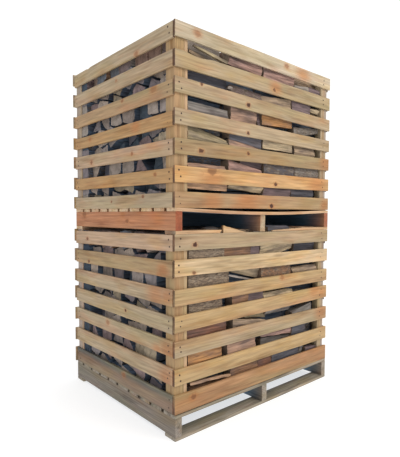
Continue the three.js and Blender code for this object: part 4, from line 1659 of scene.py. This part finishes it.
def stack_logs(crate, index, outer):
    """Outline and place of each log of a bay's heart. outer is -1 in the left bay and 1 in the right."""
    bottom = DECK_TOP + GAP
    logs = bay_logs(SEEDS[crate][index], bottom, FILLS[crate])
    chance = own_chance(f"{crate}_heart_{index + 1}")
    for log in logs:
        on_top = log["layer"] == LAYERS - 1
        in_corner = outer and log["row"] == (0 if outer > 0 else ROWS - 1)
        near_post = crate == "lower" and log["row"] == (ROWS - 1 if outer > 0 else 0)
        uneven = chance.uniform(*TOP_UNEVEN) if on_top and crate == "upper" else 0
        spare = CORNER_SPARE if in_corner else chance.uniform(*CELL_SPARES)
        outline = cell(log, logs, bottom, INNER_FILLS[crate][index] + uneven, spare)
        if len(outline) < 3 or area(outline) < SMALLEST_CELL:
            continue
        whole = in_corner or (on_top and outer) or chance.random() < WHOLE_SHARE
        corners = outline if whole else split_corners(outline, chance)
        sides = list(zip(corners, corners[1:] + corners[:1]))
        barked = int(np.argmax([math.dist(a, b) for a, b in sides])) if chance.random() < BARK_SHARE else -1
        if on_top and crate == "upper":
            barked = int(np.argmax([a[1] + b[1] for a, b in sides]))
        made, bark = log_outline(corners, barked, FINE_SPACING if on_top or outer else COARSE_SPACING,
                                 WHOLE_BULGE if whole else chance.uniform(*SPLIT_BULGES))
        start = BAY_ENDS[index] + GAP + chance.uniform(0, JOINT_PLAY)
        end = BAY_ENDS[index + 1] - GAP - chance.uniform(0, JOINT_PLAY)
        shaded = chance.random() < SHADED_SHARE and not on_top
        if near_post and not on_top:
            setback = POST_SETBACK
        else:
            setback = chance.uniform(*SHADED_SETBACKS) if shaded else 0
        reach = CORNER_END if in_corner else log["end"] + setback
        if outer < 0:
            start = reach
        if outer > 0:
            end = LOAD_WIDTH - max(reach, TOP_END if on_top else 0)
        end_tints = SHADE_TINTS if shaded or near_post else DRY_END_TINTS if on_top else END_TINTS
        end_tint = chance.choice(CORNER_TINTS_AND_SHADE[crate] if in_corner else end_tints)
        yield {"outline": made, "change": np.zeros_like(made), "bark": bark,
               "pith": pith_of(corners, barked), "start": start, "end": end,
               "tint": chance.choice(TOP_TINTS) if on_top else None, "end_tint": end_tint,
               "turned": False, "chance": chance}


print("heart logs have", len(END_TINTS), "end tints")

# %% [markdown]
# ## Two proud logs
# Two logs of the lower crate's front stand up into the fork ways above. They are ordinary split logs,
# but higher than their bays, so each has its own section and place.

# %% Proud logs
# Corners of the section, as y and z from the place given for it
PEAK_SECTION = ((0, -60), (76, -60), (68, -12), (26, 0), (4, -9))
PEAKS = {
    ("lower", 0): {"start": 280, "end": 366, "y": 86, "top": 982, "tint": "grey"},
    ("lower", 2): {"start": 700, "end": 889, "y": 36, "top": 986, "tint": "slate"},
}


def peak_logs(crate, index):
    """The log that stands above the others in a bay, if the bay has one."""
    peak = PEAKS.get((crate, index))
    if peak is None:
        return []
    corners = [(y + peak["y"], z + peak["top"]) for y, z in PEAK_SECTION]
    outline, bark = log_outline(corners, -1, FINE_SPACING, 0)
    return [{"outline": outline, "change": np.zeros_like(outline), "bark": bark, "pith": np.array(corners[0]),
             "start": peak["start"], "end": peak["end"], "tint": peak["tint"], "turned": False,
             "chance": own_chance(f"{crate}_peak_{index + 1}")}]


print(len(PEAKS), "logs stand proud")

# %% [markdown]
# ## Filling the bays
# A bay is one mesh of all its logs, because hundreds of single objects would be a burden. Each log's
# points follow those of the log before it. A front log belongs to the bay that its middle is in. The
# logs that are seen close get a ring every 17 mm, and those in the heart one every 60 mm.

# %% Bays of logs
FINE_STEP = 17
COARSE_STEP = 60
JOINT_END_TINT = "#8a7868"


def bay_of(log):
    middle = (log["start"] + log["end"]) / 2
    return np.searchsorted(BAY_ENDS[1:-1], LOAD_WIDTH - middle if log["turned"] else middle)


def make_bay(crate, index):
    outer = {0: -1, len(BAY_ENDS) - 2: 1}.get(index, 0)
    logs = list(stack_logs(crate, index, outer)) + peak_logs(crate, index)
    for turned in (False, True):
        logs += [log for log in front_logs(crate, turned) if bay_of(log) == index]
    points, faces, kinds, grains, tints = [], [], [], [], []
    total = 0
    for log in logs:
        in_heart = log["tint"] is None
        made, made_faces, made_kinds, grain, n = log_mesh(log, COARSE_STEP if in_heart else FINE_STEP)
        if log["turned"]:
            made = np.array((LOAD_WIDTH, LOAD_DEPTH, 0)) + made * (-1, -1, 1)
        # Heart logs get the painted shade tint on their long faces, the others their own oak tint
        tint = np.tile(linear(HEART_SHADE_TINT if in_heart else OAK_TINTS[log["tint"]]), (len(made), 1))
        tint[-2 * n:] = linear(log.get("end_tint", JOINT_END_TINT))
        points.append(made)
        faces += [tuple(v + total for v in face) for face in made_faces]
        kinds += made_kinds
        grains.append(grain)
        tints.append(tint)
        total += len(made)
    points = np.concatenate(points) + (0, 0, BASES[crate])
    marks = {"grain": np.concatenate(grains) * MM, "tint": np.concatenate(tints)}
    make_piece(f"{crate}_firewood_{index + 1}", in_frame(points), faces,
               [split_face, bark_finish, end_grain], marks, "split_oak",
               [f"{crate}_firewood_bay_{index + 1}"], kinds)
    return len(logs), sum(len(face) - 2 for face in faces)


for crate in BASES:
    for index in range(len(BAY_ENDS) - 1):
        count, triangles = make_bay(crate, index)
        print(crate, "bay", index + 1, "has", count, "logs,", triangles, "triangles")

# %% [markdown]
# ## The floor
# The load stands on a plain white floor, like a product picture. The floor glows a little, like a light
# table, which keeps it white right up to the pallet and leaves a soft shadow.

# %% Floor
FLOOR_GLOW = 0.66
FLOOR_HALF = 12.0


def make_floor():
    material, tree = new_finish("white_floor")
    paint = add(tree, "ShaderNodeBsdfPrincipled",
                {"Base Color": linear("#b0b0b0"), "Roughness": 0.9, "Emission Color": (1, 1, 1, 1),
                 "Emission Strength": FLOOR_GLOW})
    add(tree, "ShaderNodeOutputMaterial", {"Surface": paint})
    half = FLOOR_HALF
    mesh = bpy.data.meshes.new("floor")
    corners = [(-half, -half, 0), (half, -half, 0), (half, half, 0), (-half, half, 0)]
    mesh.from_pydata(corners, [], [(0, 1, 2, 3)])
    mesh.materials.append(material)
    floor = bpy.data.objects.new("floor", mesh)
    bpy.context.scene.collection.objects.link(floor)


make_floor()
print("floor laid")

# %% [markdown]
# ## The light
# The light is a white sky and two lamps. The sky lights from above more than from the sides, and it is
# brightest behind the load. Where it is looked at directly it is plain white from any side, which the
# light it gives doesn't follow: a sky as white as that all round would leave no shade. One large soft
# lamp in front and to the right lights the front, and a weak bluish one on the left leaves that side in
# a cooler half shade.

# %% Light
SKY_SIDES = 0.55
SKY_BEHIND = 1.1
SKY_ABOVE = 0.9
# The sky turns from its side to its upper strength between these heights, and to the backdrop's here
RISE_FROM, RISE_TO = 0.2, 0.8
BACKDROP_FROM, BACKDROP_TO = 0.5, 0.78


def make_sky():
    sky = bpy.data.worlds.new("white_sky")
    sky.use_nodes = True
    tree = sky.node_tree
    tree.nodes.clear()
    toward = add(tree, "ShaderNodeTexCoord").outputs["Generated"]
    backdrop = (math.sin(CAMERA_TURN), math.cos(CAMERA_TURN), 0)
    behind = add(tree, "ShaderNodeVectorMath", {0: toward, 1: backdrop},
                 operation="DOT_PRODUCT").outputs["Value"]
    height = add(tree, "ShaderNodeSeparateXYZ", {0: toward}).outputs["Z"]
    sides = add(tree, "ShaderNodeMapRange",
                {"Value": height, "From Min": RISE_FROM, "From Max": RISE_TO,
                 "To Min": SKY_SIDES, "To Max": SKY_ABOVE})
    back = add(tree, "ShaderNodeMapRange",
               {"Value": behind, "From Min": BACKDROP_FROM, "From Max": BACKDROP_TO, "To Max": SKY_BEHIND})
    lit = add(tree, "ShaderNodeMath", {0: sides, 1: back}, operation="MAXIMUM")
    direct = add(tree, "ShaderNodeLightPath").outputs["Is Camera Ray"]
    white = add(tree, "ShaderNodeMath", {0: direct, 1: SKY_BEHIND}, operation="MULTIPLY")
    strength = add(tree, "ShaderNodeMath", {0: lit, 1: white}, operation="MAXIMUM")
    light = add(tree, "ShaderNodeBackground", {"Color": (1, 1, 1, 1), "Strength": strength})
    add(tree, "ShaderNodeOutputWorld", {"Surface": light})
    bpy.context.scene.world = sky


LAMP_SIZE = 2.5
LAMP_TARGET = (0, 0, 0.9)


def make_lamp(name, place, power, colour):
    light = bpy.data.lights.new(name, "AREA")
    light.shape = "DISK"
    light.size = LAMP_SIZE
    light.energy = power
    light.color = linear(colour)[:3]
    lamp = bpy.data.objects.new(name, light)
    lamp.location = place
    lamp.rotation_euler = (Vector(LAMP_TARGET) - Vector(place)).to_track_quat("-Z", "Y").to_euler()
    bpy.context.scene.collection.objects.link(lamp)


make_sky()
make_lamp("soft_key", (1.0, -4.0, 4.2), 110, "#fff6ea")
make_lamp("cool_fill", (-4.5, -0.5, 2.8), 30, "#e3ecff")
bpy.context.scene.view_settings.view_transform = "Standard"
print("two lamps and a white sky")
